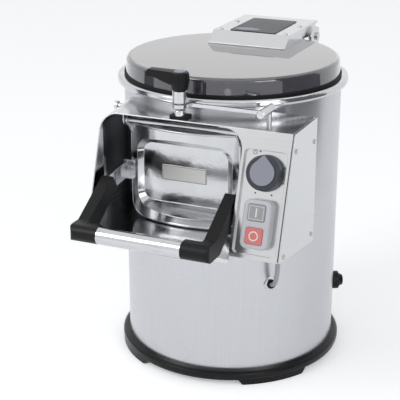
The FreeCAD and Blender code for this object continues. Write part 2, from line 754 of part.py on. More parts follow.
def make_control_plate():
    centre_z = (RECESS_TOP_Z + RECESS_BOTTOM_Z) / 2
    half = slope_distance(RECESS_BOTTOM_Z, RECESS_TOP_Z) / 2 + PLATE_MARGIN
    plate = prism_xy(rectangle(RECESS_LEFT_X - PLATE_MARGIN, RECESS_RIGHT_X + PLATE_MARGIN, -half, half, RECESS_R),
                     -PLATE_DEPTH - SHEET, -PLATE_DEPTH)
    frame = prism_xy(rectangle(RECESS_LEFT_X - PLATE_MARGIN, RECESS_RIGHT_X + PLATE_MARGIN, -half, half, RECESS_R),
                     -PLATE_DEPTH, -SHEET)
    open_half = half - PLATE_MARGIN
    frame = frame.cut(prism_xy(rectangle(RECESS_LEFT_X, RECESS_RIGHT_X, -open_half, open_half, RECESS_R),
                               -PLATE_DEPTH, -SHEET))
    plate = on_front(fuse([plate, frame]), 0, centre_z)
    hole = on_front(Part.makeCylinder(TIMER_SHAFT_R + SHAFT_CLEAR, 40, V(0, 0, -20)), CONTROL_X, KNOB_Z)
    return plate.cut(hole)


# Timer and switch

def make_timer_knob():
    low = -PLATE_DEPTH + KNOB_LIFT
    knob = turned([(0, low, 0), (KNOB_R, low, 1), (KNOB_R - 1.5, low + KNOB_H, KNOB_ROUND), (0, low + KNOB_H, 0)])
    knob = knob.cut(Part.makeCylinder(TIMER_SHAFT_R, KNOB_H * 0.7, V(0, 0, low)))
    return on_front(knob, CONTROL_X, KNOB_Z)


def make_knob_pointer():
    low = -PLATE_DEPTH + KNOB_LIFT + KNOB_H
    spread = math.acos((POINTER_R - POINTER_TIP_R) / (POINTER_TIP - POINTER_TIP_R))
    centre = POINTER_TIP - POINTER_TIP_R
    side = V(math.sin(spread), math.cos(spread), 0)
    left = V(-side.x, side.y, 0)
    edges = [Part.Arc(side * POINTER_R, V(0, -POINTER_R, 0), left * POINTER_R).toShape(),
             Part.LineSegment(left * POINTER_R, V(0, centre, 0) + left * POINTER_TIP_R).toShape(),
             Part.Arc(V(0, centre, 0) + left * POINTER_TIP_R, V(0, POINTER_TIP, 0),
                      V(0, centre, 0) + side * POINTER_TIP_R).toShape(),
             Part.LineSegment(V(0, centre, 0) + side * POINTER_TIP_R, side * POINTER_R).toShape()]
    face = Part.Face(Part.Wire(edges))
    face.translate(V(0, 0, low))
    return on_front(face.extrude(V(0, 0, POINTER_H)), CONTROL_X, KNOB_Z)


def make_timer_shaft():
    top = -PLATE_DEPTH + KNOB_LIFT + KNOB_H * 0.7
    bottom = -PLATE_DEPTH - SHEET - TIMER_SHAFT_IN
    return on_front(Part.makeCylinder(TIMER_SHAFT_R, top - bottom, V(0, 0, bottom)), CONTROL_X, KNOB_Z)


def make_timer_body():
    top = -PLATE_DEPTH - SHEET
    body = Part.makeCylinder(TIMER_BODY_R, TIMER_BODY_L, V(0, 0, top - TIMER_BODY_L))
    depth = TIMER_SHAFT_IN + 1
    bore = Part.makeCylinder(TIMER_SHAFT_R + SHAFT_CLEAR, depth, V(0, 0, top - depth))
    return on_front(body.cut(bore), CONTROL_X, KNOB_Z)


def button_outline(centre, grow):
    return rectangle(-BUTTON_W / 2 - grow, BUTTON_W / 2 + grow,
                     centre - BUTTON_H / 2 - grow, centre + BUTTON_H / 2 + grow, BUTTON_R + grow)


def make_switch_housing():
    low = -PLATE_DEPTH
    outline = rectangle(-SWITCH_W / 2, SWITCH_W / 2, -SWITCH_H / 2, SWITCH_H / 2, SWITCH_R)
    body = prism_xy(outline, low, low + SWITCH_D)
    top_edges = [edge for edge in body.Edges if abs(edge.BoundBox.ZMin - (low + SWITCH_D)) < 1e-6]
    body = body.makeFillet(3.5, top_edges)
    for centre in (-BUTTON_OFFSET, BUTTON_OFFSET):
        body = body.cut(prism_xy(button_outline(centre, BUTTON_CLEAR), low + SWITCH_WALL, low + SWITCH_D + 1))
    return on_front(body, CONTROL_X, SWITCH_Z)


def make_button(centre):
    top = -PLATE_DEPTH + SWITCH_D + BUTTON_PROUD
    button = prism_xy(button_outline(centre, 0), top - BUTTON_LEN, top)
    top_edges = [edge for edge in button.Edges if abs(edge.BoundBox.ZMin - top) < 1e-6]
    return on_front(button.makeFillet(0.8, top_edges), CONTROL_X, SWITCH_Z)


def make_switch_block():
    top = -PLATE_DEPTH - SHEET
    outline = rectangle(-SWITCH_BLOCK_W / 2, SWITCH_BLOCK_W / 2, -SWITCH_BLOCK_H / 2, SWITCH_BLOCK_H / 2, 2)
    return on_front(prism_xy(outline, top - SWITCH_BLOCK_L, top), CONTROL_X, SWITCH_Z)


# Discharge door

def dish_block(grow, back_y):
    """The dish as a drafted block that widens towards the front."""
    front_y = -DOOR_FACE_R - 1
    wires = []
    for y in (front_y, back_y):
        depth = DISH_FLOOR_Y - y
        side = DISH_HALF + depth * DISH_DRAFT_X + grow
        rise = depth * DISH_DRAFT_Z + grow
        radius = DISH_R + max(rise, 0)
        corners = rectangle(DOOR_X - side, DOOR_X + side, DISH_BOTTOM - rise, DISH_TOP + rise, radius)
        wires.append(corner_wire(corners, lambda p, y=y: V(p.x, y, p.y)))
    return Part.makeLoft(wires, True, True)


def make_door():
    inner = DOOR_FACE_R - DOOR_SHEET
    panel = tube(DOOR_FACE_R, inner, DOOR_BOTTOM - 5, DOOR_TOP + 5)
    blank = prism_xz(door_outline(0), -DOOR_FACE_R - 5, 0)
    panel = panel.common(blank)
    rim = tube(DOOR_FACE_R, DOOR_FACE_R - DOOR_EDGE_RETURN, DOOR_BOTTOM - 5, DOOR_TOP + 5)
    rim = rim.common(blank).cut(prism_xz(door_outline(-DOOR_SHEET), -DOOR_FACE_R - 5, 0))
    pan = dish_block(DOOR_SHEET + 0.3, DISH_FLOOR_Y + DOOR_SHEET).common(cylinder(DOOR_FACE_R, 0, DOOR_TOP + 20))
    cavity = dish_block(0, DISH_FLOOR_Y)
    door = fuse([panel, rim, pan]).cut(cavity)
    for side in (-1, 1):
        door = door.fuse(make_hinge_eye(side)).fuse(make_handle_tab(side))
    return door.removeSplitter()


def make_hinge_eye(side):
    """Ear of the door that hangs on the hinge pin."""
    edge = DOOR_X + side * DOOR_HALF
    x0 = min(edge, edge - side * DOOR_EYE_T)
    low = DOOR_TOP - DOOR_HIGH_R - 6
    back_y = -math.sqrt(DOOR_FACE_R ** 2 - edge ** 2)
    plate = prism_yz([(back_y - 1, low, 0), (back_y + 6, low, 0), (back_y + 6, DOOR_HINGE_Z - 6, 0),
                      (DOOR_HINGE_Y + DOOR_EYE_R, DOOR_HINGE_Z, 0), (DOOR_HINGE_Y - DOOR_EYE_R, DOOR_HINGE_Z, 0)],
                     x0, x0 + DOOR_EYE_T)
    ring = rod_x(DOOR_EYE_R, x0, x0 + DOOR_EYE_T, DOOR_HINGE_Y, DOOR_HINGE_Z)
    eye = fuse([plate, ring])
    return eye.cut(rod_x(DOOR_PIN_R + PIN_RUN_CLEAR, x0 - 1, x0 + DOOR_EYE_T + 1, DOOR_HINGE_Y, DOOR_HINGE_Z))


def arm_axis():
    """Unit direction of the handle arm in the (Y, Z) plane, from its top down to the corner."""
    along = V(0, CORNER_BACK_Y - ARM_TOP_Y, GRIP_Z - ARM_TOP_Z)
    along.normalize()
    return along


def make_handle_tab(side):
    """Tab on the door's edge with the strap that carries one handle arm."""
    inner = side * TAB_X if side < 0 else DOOR_X + DOOR_HALF - TAB_LAP
    outer = side * (TAB_OUT_X if side < 0 else BRACKET_X + BRACKET_T)
    tab = prism_xz(rectangle(min(inner, outer), max(inner, outer), TAB_BOTTOM, TAB_TOP, 3), TAB_Y, TAB_Y + TAB_T)
    along = arm_axis()
    across = V(0, -along.z, along.y)
    half = BRACKET_HEIGHT / 2
    start = V(0, ARM_TOP_Y, ARM_TOP_Z) + along * BRACKET_GRIP
    high = start - across * half
    low = start + across * half
    outline = [(TAB_Y + TAB_T, TAB_BOTTOM + 3, 0), (TAB_Y + TAB_T, TAB_TOP - 1, 0),
               (ARM_TOP_Y - across.y * half, ARM_TOP_Z - across.z * half, 0),
               (high.y, high.z, 0), (low.y, low.z, 0)]
    x0 = min(side * BRACKET_X, side * (BRACKET_X + BRACKET_T))
    return fuse([tab, prism_yz(outline, x0, x0 + BRACKET_T)])


def make_handle_arms():
    along = arm_axis()
    across = V(0, -along.z, along.y)
    half = ARM_DEPTH / 2
    top = V(0, ARM_TOP_Y, ARM_TOP_Z)
    high = top - across * half
    low = top + across * half
    outline = [(high.y, high.z, 2), (CORNER_BACK_Y - across.y * half, GRIP_Z + half, 6),
               (GRIP_Y - GRIP_R, GRIP_Z + half, GRIP_R - 0.5), (GRIP_Y - GRIP_R, GRIP_Z - half, GRIP_R - 0.5),
               (CORNER_BACK_Y + across.y * half, GRIP_Z - half, 6), (low.y, low.z, 2)]
    arms = []
    for side in (-1, 1):
        x_out = side * HANDLE_HALF
        x_in = side * (HANDLE_HALF - ARM_W)
        arm = prism_yz(outline, min(x_in, x_out), max(x_in, x_out))
        x_grip = side * GRIP_HALF
        corner = [(GRIP_Y + GRIP_R, GRIP_Z + half, 4), (GRIP_Y - GRIP_R, GRIP_Z + half, GRIP_R - 0.5),
                  (GRIP_Y - GRIP_R, GRIP_Z - half, GRIP_R - 0.5), (GRIP_Y + GRIP_R, GRIP_Z - half, 4)]
        leg = prism_yz(corner, min(x_grip, x_out), max(x_grip, x_out))
        arm = fuse([arm, leg])
        trim = prism_xy([(x_out, GRIP_Y - GRIP_R, CORNER_R), (x_out, ARM_TOP_Y + 30, 0), (0, ARM_TOP_Y + 30, 0),
                         (0, GRIP_Y - GRIP_R, 0)], 0, TOP_Z)
        arm = arm.common(trim)
        arms.append(arm.cut(make_handle_tab(side)))
    return Part.makeCompound(arms)


def make_handle_grip():
    return rod_x(GRIP_R, -GRIP_HALF, GRIP_HALF, GRIP_Y, GRIP_Z)


def make_handle_bolts():
    bolts = []
    for side in (-1, 1):
        start = V(side * BOLT_X, TAB_Y - BOLT_HEAD, BOLT_Z)
        bolts.append(Part.makeCylinder(BOLT_R, BOLT_HEAD, start, V(0, 1, 0)))
    return Part.makeCompound(bolts)


def make_door_seal():
    outer = DOOR_FACE_R - DOOR_SHEET
    ring = tube(outer, outer - SEAL_T, DOOR_BOTTOM, DOOR_TOP)
    ring = ring.common(throat_block(-SEAL_OVERLAP))
    return ring.cut(throat_block(THROAT_WALL + SEAL_INSET))


def make_discharge_throat():
    outer = DOOR_FACE_R - DOOR_SHEET - SEAL_T - SEAL_GAP
    inner = DRUM_R - DRUM_WALL - LINER_GAP - LINER_T
    ring = tube(outer, inner, THROAT_BOTTOM - 5, THROAT_TOP + 5)
    return ring.common(throat_block(0)).cut(throat_block(THROAT_WALL))


def make_door_hinge_pin():
    reach = DOOR_HALF + HINGE_BRACKET_GAP + HINGE_BRACKET_T + 3
    return rod_x(DOOR_PIN_R, DOOR_X - reach, DOOR_X + reach, DOOR_HINGE_Y, DOOR_HINGE_Z)


def chute_inside():
    """Room under the top sheet, inside the left wall and the folded divider."""
    low = DOOR_HINGE_Z - 3 * HINGE_BRACKET_HALF
    right = prism_xz([(DOOR_X, low, 0), (DIVIDER_X, low, 0), (DIVIDER_X, TOP_Z - 2 * SHEET, DIVIDER_CORNER_R),
                      (DOOR_X, TOP_Z - 2 * SHEET, 0)], TOP_FRONT_Y, 0)
    return housing_block(SHEET, DOOR_X).fuse(right)


def make_door_hinge_brackets():
    brackets = []
    for side in (-1, 1):
        inner = DOOR_X + side * (DOOR_HALF + HINGE_BRACKET_GAP)
        outer = inner + side * HINGE_BRACKET_T
        drop, half = HINGE_BRACKET_DROP, HINGE_BRACKET_HALF
        outline = [(DOOR_HINGE_Y - half, TOP_Z - SHEET, 0), (DOOR_HINGE_Y - drop, DOOR_HINGE_Z - drop, 5),
                   (DOOR_HINGE_Y + drop, DOOR_HINGE_Z - drop, 5), (DOOR_HINGE_Y + half, TOP_Z - SHEET, 0)]
        plate = prism_yz(outline, min(inner, outer), max(inner, outer))
        plate = plate.cut(rod_x(DOOR_PIN_R, -DRUM_R, DRUM_R, DOOR_HINGE_Y, DOOR_HINGE_Z))
        brackets.append(plate.common(chute_inside()))
    return Part.makeCompound(brackets)


def make_label_plate():
    outline = rectangle(LABEL_X - LABEL_W / 2, LABEL_X + LABEL_W / 2, LABEL_Z - LABEL_H / 2, LABEL_Z + LABEL_H / 2, 2)
    return prism_xz(outline, DISH_FLOOR_Y - LABEL_T, DISH_FLOOR_Y)


# Clamp post and tie bar

def make_clamp_pad():
    outline = rectangle(CLAMP_X - CLAMP_PAD_W / 2, CLAMP_X + CLAMP_PAD_W / 2,
                        CLAMP_Y - CLAMP_PAD_D / 2 + 2, CLAMP_Y + CLAMP_PAD_D / 2 + 2, 3)
    return prism_xy(outline, TOP_Z, TOP_Z + CLAMP_PAD_T)


HUB_Z = SLEEVE_Z1 + HUB_LIFT


def make_clamp_post():
    low = TOP_Z + CLAMP_PAD_T
    top = HUB_Z + HUB_H - HUB_BORE_ROOF
    post = turned([(0, low, 0), (CLAMP_FOOT_R, low, 0), (CLAMP_FOOT_R, low + CLAMP_FOOT_H * 0.6, 3),
                   (CLAMP_SHAFT_R, low + CLAMP_FOOT_H, 0), (CLAMP_SHAFT_R, top, 0), (0, top, 0)])
    post.translate(V(CLAMP_X, CLAMP_Y, 0))
    return post


def make_clamp_sleeve():
    sleeve = cylinder(SLEEVE_R, SLEEVE_Z0, SLEEVE_Z1, CLAMP_X, CLAMP_Y)
    sleeve = sleeve.makeChamfer(1.0, [edge for edge in sleeve.Edges if edge.Closed])
    return sleeve.cut(cylinder(CLAMP_SHAFT_R, SLEEVE_Z0, SLEEVE_Z1, CLAMP_X, CLAMP_Y))


def make_clamp_lever():
    top = HUB_Z + HUB_H
    hub = turned([(0, HUB_Z, 0), (HUB_R - 1.5, HUB_Z, 1), (HUB_R, HUB_Z + 8, 4),
                  (HUB_R, top, HUB_ROUND), (0, top, 0)])
    profile = [(0, top, 0), (-LEVER_REACH + 6, top + 1, 2), (-LEVER_REACH, top - LEVER_TIP_H, 3),
               (-LEVER_REACH + 14, top - LEVER_TIP_H - 1, 4), (-HUB_R, HUB_Z + HUB_H - LEVER_ROOT_H, 3),
               (0, HUB_Z + HUB_H - LEVER_ROOT_H - 2, 0)]
    arm = prism_xz(profile, -LEVER_ROOT_W / 2, LEVER_ROOT_W / 2)
    plan = prism_xy([(0, -LEVER_ROOT_W / 2, 0), (0, LEVER_ROOT_W / 2, 0), (-LEVER_REACH, LEVER_TIP_W / 2, 4),
                     (-LEVER_REACH, -LEVER_TIP_W / 2, 4)], HUB_Z, top + 5)
    lever = fuse([hub, arm.common(plan)])
    bore_top = top - HUB_BORE_ROOF + 0.5
    lever = lever.cut(cylinder(CLAMP_SHAFT_R + RUN_CLEAR, HUB_Z, bore_top))
    lever = lever.cut(cylinder(CAP_R, top, top + CAP_H + 1))
    lever.translate(V(CLAMP_X, CLAMP_Y, 0))
    return lever


def make_clamp_cap():
    top = HUB_Z + HUB_H
    cap = turned([(0, top, 0), (CAP_R, top, 0), (CAP_R, top + CAP_H, 0.8), (0, top + CAP_H, 0)])
    cap.translate(V(CLAMP_X, CLAMP_Y, 0))
    return cap


def make_tie_bar():
    low = TIE_Z - TIE_H / 2
    bar = block(CLAMP_X - 2, BARREL_X, TIE_Y - TIE_T / 2, TIE_Y + TIE_T / 2, low, low + TIE_H)
    eye = cylinder(SLEEVE_R, low, low + TIE_H, CLAMP_X, CLAMP_Y)
    web = block(CLAMP_X - 4, CLAMP_X + 12, CLAMP_Y, TIE_Y + TIE_T / 2, low, low + TIE_H)
    bar = fuse([bar, eye, web]).cut(cylinder(CLAMP_SHAFT_R, low, low + TIE_H, CLAMP_X, CLAMP_Y))
    return bar.cut(Part.makeCylinder(BARREL_R, 100, V(BARREL_X, BARREL_FRONT_Y - 5, TIE_Z), V(0, 1, 0)))


def make_tie_barrel():
    barrel = Part.makeCylinder(BARREL_R, BARREL_REAR_Y - BARREL_FRONT_Y, V(BARREL_X, BARREL_FRONT_Y, TIE_Z), V(0, 1, 0))
    barrel = barrel.makeChamfer(1.0, [edge for edge in barrel.Edges if edge.Closed])
    stud = cylinder(BARREL_STUD_R, TOP_Z, TIE_Z, BARREL_X, BARREL_REAR_Y - 10)
    return fuse([barrel, stud])


def make_side_bolt():
    span = (LEFT_REAR_X - LEFT_X) / (-LEFT_REAR_REACH - TOP_FRONT_Y)
    x = LEFT_X + (SIDE_BOLT_Y - TOP_FRONT_Y) * span
    drop = LEFT_CORNER_R - (TOP_Z - SIDE_BOLT_Z)
    x = x + LEFT_CORNER_R - math.sqrt(LEFT_CORNER_R ** 2 - drop ** 2)
    shank = rod_x(SIDE_BOLT_R * 0.55, x - SIDE_BOLT_OUT, x + 8, SIDE_BOLT_Y, SIDE_BOLT_Z)
    head = rod_x(SIDE_BOLT_R, x - SIDE_BOLT_OUT, x - SIDE_BOLT_OUT + SIDE_BOLT_HEAD, SIDE_BOLT_Y, SIDE_BOLT_Z)
    return fuse([shank, head]).cut(housing_block(0, SHELL_RIGHT_X))


# Peeling plate and its drive

def make_peeling_plate():
    top = PLATE_Z + PLATE_T
    plate = turned([(SPINDLE_R, PLATE_Z, 0), (PLATE_R, PLATE_Z, 0), (PLATE_R, top + PLATE_RIM, 1),
                    (PLATE_R - 4, top + PLATE_RIM, 1), (PLATE_R - 12, top, 4), (PLATE_HUB_R + 14, top, 8),
                    (PLATE_HUB_R, top + PLATE_HUB_H, 3), (SPINDLE_R, top + PLATE_HUB_H, 0)])
    ridge = Part.makeCylinder(RIDGE_R, RIDGE_OUT - RIDGE_IN, V(RIDGE_IN, 0, top + RIDGE_RISE - RIDGE_R), V(1, 0, 0))
    ball = Part.makeSphere(RIDGE_R, V(RIDGE_OUT, 0, top + RIDGE_RISE - RIDGE_R))
    ridge = fuse([ridge, ball]).common(cylinder(PLATE_R, PLATE_Z + 1, top + 40))
    ridges = []
    for i in range(RIDGE_COUNT):
        copy = ridge.copy()
        copy.rotate(V(0, 0, 0), V(0, 0, 1), 20 + i * 360.0 / RIDGE_COUNT)
        ridges.append(copy)
    paddle = block(PLATE_HUB_R, PLATE_R - 6, -PADDLE_T / 2, PADDLE_T / 2, PLATE_Z - PADDLE_H, PLATE_Z)
    mirror = paddle.copy()
    mirror.rotate(V(0, 0, 0), V(0, 0, 1), 180)
    return fuse([plate, paddle, mirror] + ridges)


def make_plate_cap():
    low = PLATE_Z + PLATE_T + PLATE_HUB_H
    return turned([(0, low, 0), (PLATE_CAP_R, low, 0), (PLATE_CAP_R - 3, low + PLATE_CAP_H, 4),
                   (0, low + PLATE_CAP_H, 0)])


def make_spindle():
    return cylinder(SPINDLE_R, SPINDLE_BOTTOM, PLATE_Z + PLATE_T + PLATE_HUB_H)


def make_bearing_housing():
    top = FLOOR_Z - FLOOR_T
    body = revolve([(BEARING_R, HOUSING_BOTTOM), (HOUSING_R, HOUSING_BOTTOM), (HOUSING_R, top - FLANGE_T - 8),
                    (HOUSING_R + 6, top - FLANGE_T), (FLANGE_R, top - FLANGE_T), (FLANGE_R, top),
                    (BEARING_R, top)])
    spacer_low = HOUSING_BOTTOM + BEARING_W
    spacer_high = top - BEARING_W
    return fuse([body, tube(BEARING_R, BEARING_R - 4, spacer_low, spacer_high)])


def make_spindle_bearings():
    bearings = []
    for z0 in (HOUSING_BOTTOM, FLOOR_Z - FLOOR_T - BEARING_W):
        bearings.append(tube(BEARING_R, SPINDLE_R + RUN_CLEAR, z0, z0 + BEARING_W))
    return Part.makeCompound(bearings)


def make_shaft_seal():
    low = FLOOR_Z - FLOOR_T
    return tube(BEARING_R, SPINDLE_R + RUN_CLEAR, low, FLOOR_Z + SEAL_LIP)


def pulley(radius, hub, bore):
    """Flat belt pulley with two flanges, a hub and lightening pockets worked from its radius."""
    z0 = PULLEY_Z
    z1 = PULLEY_Z + PULLEY_W
    rim = radius + BELT_T + 1
    outer = revolve([(bore, z0 - PULLEY_FLANGE), (rim, z0 - PULLEY_FLANGE), (rim, z0), (radius, z0 + 0.01),
                     (radius, z1 - 0.01), (rim, z1), (rim, z1 + PULLEY_FLANGE), (bore, z1 + PULLEY_FLANGE)])
    if radius > hub + 15:
        pocket = tube(radius - 6, hub, z0 + 4, z1 + PULLEY_FLANGE + 1)
        outer = outer.cut(pocket)
    return outer


def make_driven_pulley():
    return pulley(PULLEY_R, PULLEY_HUB_R, SPINDLE_R)


def make_motor_pulley():
    wheel = pulley(MOTOR_PULLEY_R, MOTOR_SHAFT_R + 4, MOTOR_SHAFT_R)
    wheel.translate(V(MOTOR_X, 0, 0))
    return wheel


def belt_outline(extra):
    """Corners of the belt loop as two arcs and their common tangents."""
    big = PULLEY_R + extra
    small = MOTOR_PULLEY_R + extra
    lean = math.asin((big - small) / abs(MOTOR_X))
    up = V(-math.sin(lean), math.cos(lean), 0)
    down = V(up.x, -up.y, 0)
    motor = V(MOTOR_X, 0, 0)
    return [Part.Arc(up * big, V(big, 0, 0), down * big).toShape(),
            Part.LineSegment(down * big, motor + down * small).toShape(),
            Part.Arc(motor + down * small, motor - V(small, 0, 0), motor + up * small).toShape(),
            Part.LineSegment(motor + up * small, up * big).toShape()]


def make_drive_belt():
    z0 = PULLEY_Z + BELT_GAP
    height = PULLEY_W - 2 * BELT_GAP
    outer = Part.Face(Part.Wire(belt_outline(BELT_GAP + BELT_T))).extrude(V(0, 0, height))
    inner = Part.Face(Part.Wire(belt_outline(BELT_GAP))).extrude(V(0, 0, height))
    belt = outer.cut(inner)
    belt.translate(V(0, 0, z0))
    return belt


def make_motor_body():
    body = cylinder(MOTOR_R, MOTOR_BOTTOM, MOTOR_TOP, MOTOR_X)
    fins = []
    for i in range(MOTOR_FIN_COUNT):
        fin = block(MOTOR_R - 1, MOTOR_R + MOTOR_FIN, -1, 1, MOTOR_BOTTOM + 14, MOTOR_TOP - 10)
        fin.rotate(V(0, 0, 0), V(0, 0, 1), i * 360.0 / MOTOR_FIN_COUNT)
        fin.translate(V(MOTOR_X, 0, 0))
        fins.append(fin)
    spigot = cylinder(MOTOR_SPIGOT_R, MOTOR_TOP, MOTOR_TOP + MOTOR_SPIGOT_H, MOTOR_X)
    motor = fuse([body, spigot] + fins)
    return motor.cut(cylinder(MOTOR_SHAFT_R + RUN_CLEAR, MOTOR_TOP - 20, MOTOR_TOP + 10, MOTOR_X))


def make_motor_shaft():
    return cylinder(MOTOR_SHAFT_R, MOTOR_TOP - 19, PULLEY_Z + PULLEY_W + PULLEY_FLANGE, MOTOR_X)


def make_motor_mount():
    low = MOTOR_TOP
    high = MOTOR_TOP + MOUNT_T
    inner_x, inner_y = POST_IN
    outer_x, outer_y = POST_OUT
    plate = prism_xy([(inner_x + 8, -inner_y - 8, 6), (inner_x + 8, inner_y + 8, 6), (outer_x + 14, inner_y + 6, 8),
                      (outer_x - 8, outer_y, 8), (outer_x - 8, -outer_y, 8), (outer_x + 14, -inner_y - 6, 8)],
                     low, high)
    plate = plate.cut(cylinder(MOTOR_SPIGOT_R, low, high, MOTOR_X))
    plate = plate.cut(cylinder(SPINDLE_R + 12, low, high))
    posts = []
    for x, y in (POST_IN, POST_OUT):
        for side in (-1, 1):
            posts.append(cylinder(POST_R, high, FLOOR_Z - FLOOR_T, x, side * y))
    return fuse([plate] + posts)


# Connections

def make_drain_pipe():
    top = FLOOR_Z - FLOOR_T
    turn_z = DRAIN_Z + DRAIN_BEND
    start = V(0, DRAIN_Y, top)
    bend_start = V(0, DRAIN_Y, turn_z)
    offset = DRAIN_BEND * (1 - math.sqrt(0.5))
    bend_middle = V(0, DRAIN_Y + offset, DRAIN_Z + offset)
    bend_end = V(0, DRAIN_Y + DRAIN_BEND, DRAIN_Z)
    end = V(0, DRUM_R + DRAIN_OUT, DRAIN_Z)
    path = Part.Wire([Part.LineSegment(start, bend_start).toShape(),
                      Part.Arc(bend_start, bend_middle, bend_end).toShape(),
                      Part.LineSegment(bend_end, end).toShape()])
    outer = path.makePipeShell([Part.Wire(Part.makeCircle(DRAIN_R, start, V(0, 0, 1)))], True, False)
    inner = path.makePipeShell([Part.Wire(Part.makeCircle(DRAIN_R - DRAIN_WALL, start, V(0, 0, 1)))], True, False)
    flange = cylinder(DRAIN_R + DRAIN_FLANGE, top - 3, top, 0, DRAIN_Y)
    collar = Part.makeCylinder(DRAIN_R + DRAIN_FLANGE, 3 * DRAIN_COLLAR, V(0, DRUM_R - 2 * DRAIN_COLLAR, DRAIN_Z),
                               V(0, 1, 0))
    collar = collar.cut(cylinder(DRUM_R, 0, 2 * DRAIN_Z))
    return fuse([outer, flange, collar]).cut(inner)


def make_water_inlet():
    depth = DRUM_WALL + LINER_GAP + LINER_T + INLET_NOZZLE_IN
    tail_start = INLET_NUT_T
    body = Part.makeCylinder(INLET_BODY_R, depth + tail_start, V(0, 0, -depth))
    nut = prism_xy([(INLET_NUT_R * math.cos(math.radians(60 * i)), INLET_NUT_R * math.sin(math.radians(60 * i)), 0)
                    for i in range(6)], 0, INLET_NUT_T)
    tail = Part.makeCylinder(INLET_TAIL_R, INLET_TAIL_L, V(0, 0, INLET_NUT_T))
    bore = Part.makeCylinder(INLET_BORE_R, 200, V(0, 0, -100))
    return outward(fuse([body, nut, tail]).cut(bore), INLET_ANGLE, INLET_Z, DRUM_R)


def make_cable_gland():
    shank = Part.makeCylinder(GLAND_DOME_R, 10, V(0, 0, -10))
    body = turned([(0, 0, 0), (GLAND_R, 0, 0), (GLAND_R, GLAND_L, 2), (GLAND_DOME_R, GLAND_L, 0),
                   (GLAND_DOME_R - 3, GLAND_L + GLAND_DOME_L, 3), (0, GLAND_L + GLAND_DOME_L, 0)])
    bore = Part.makeCylinder(GLAND_BORE_R, 60, V(0, 0, -20))
    gland = outward(fuse([shank, body]).cut(bore), GLAND_ANGLE, GLAND_Z, DRUM_R)
    seat = cylinder(DRUM_R, GLAND_Z - 30, GLAND_Z + 30).cut(
        outward(Part.makeCylinder(GLAND_DOME_R, 40, V(0, 0, -20)), GLAND_ANGLE, GLAND_Z, DRUM_R))
    return gland.cut(seat)


def cable_points():
    """Route of the short control cable, from the box's underside into the drum wall."""
    top_z = BOX_BOTTOM_REAR_Z + SHEET
    route = [(CABLE_OUT, top_z - GROMMET_OUT), (CABLE_OUT + 1.5, 206.0), (CABLE_OUT - 2.0, 176.0),
             (CABLE_OUT - 12.0, CABLE_ENTRY_Z + 2.5), (GROMMET_OUT, CABLE_ENTRY_Z)]
    turn = math.radians(CABLE_ANGLE)
    return [V((DRUM_R + out) * math.sin(turn), -(DRUM_R + out) * math.cos(turn), z) for out, z in route]


def make_control_cable():
    points = cable_points()
    edges = []
    last = points[0]
    for i in range(1, len(points) - 1):
        back = points[i - 1] - points[i]
        ahead = points[i + 1] - points[i]
        shorter = min(back.Length, ahead.Length)
        half = back.getAngle(ahead) / 2
        radius = 0.45 * shorter * math.tan(half)
        back.normalize()
        ahead.normalize()
        reach = 0.45 * shorter
        bisector = back + ahead
        bisector.normalize()
        middle = points[i] + bisector * (radius / math.sin(half) - radius)
        edges.append(Part.LineSegment(last, points[i] + back * reach).toShape())
        edges.append(Part.Arc(points[i] + back * reach, middle, points[i] + ahead * reach).toShape())
        last = points[i] + ahead * reach
        print("control cable bend radius", round(radius, 1))
    edges.append(Part.LineSegment(last, points[-1]).toShape())
    path = Part.Wire(edges)
    section = Part.Wire(Part.makeCircle(CABLE_R, points[0], points[1] - points[0]))
    cable = path.makePipeShell([section], True, False)
    print("control cable length", round(path.Length, 1), "volume share",
          round(cable.Volume / (math.pi * CABLE_R ** 2 * path.Length), 3))
    return cable


def make_cable_grommets():
    ring = Part.makeCylinder(GROMMET_R, GROMMET_OUT + DRUM_WALL + 3, V(0, 0, -DRUM_WALL - 3))
    ring = outward(ring, CABLE_ANGLE, CABLE_ENTRY_Z, DRUM_R)
    wall_ring = tube(DRUM_R, DRUM_R - DRUM_WALL, CABLE_ENTRY_Z - 20, CABLE_ENTRY_Z + 20)
    wall_ring = wall_ring.cut(outward(Part.makeCylinder(CABLE_R, 20), CABLE_ANGLE, CABLE_ENTRY_Z, DRUM_R - 10))
    ring = ring.cut(wall_ring)
    start = cable_points()[0]
    end, before_end = cable_points()[-1], cable_points()[-2]
    ring = ring.cut(Part.makeCylinder(CABLE_R, 3 * GROMMET_OUT, end, before_end - end))
    high = BOX_BOTTOM_REAR_Z + SHEET + 20
    bush = cylinder(GROMMET_R, start.z, high, start.x, start.y).common(box_bottom_cut(0))
    bush = bush.cut(Part.makeCylinder(CABLE_R, 3 * GROMMET_OUT, start, cable_points()[1] - start))
    return Part.makeCompound([ring, bush])


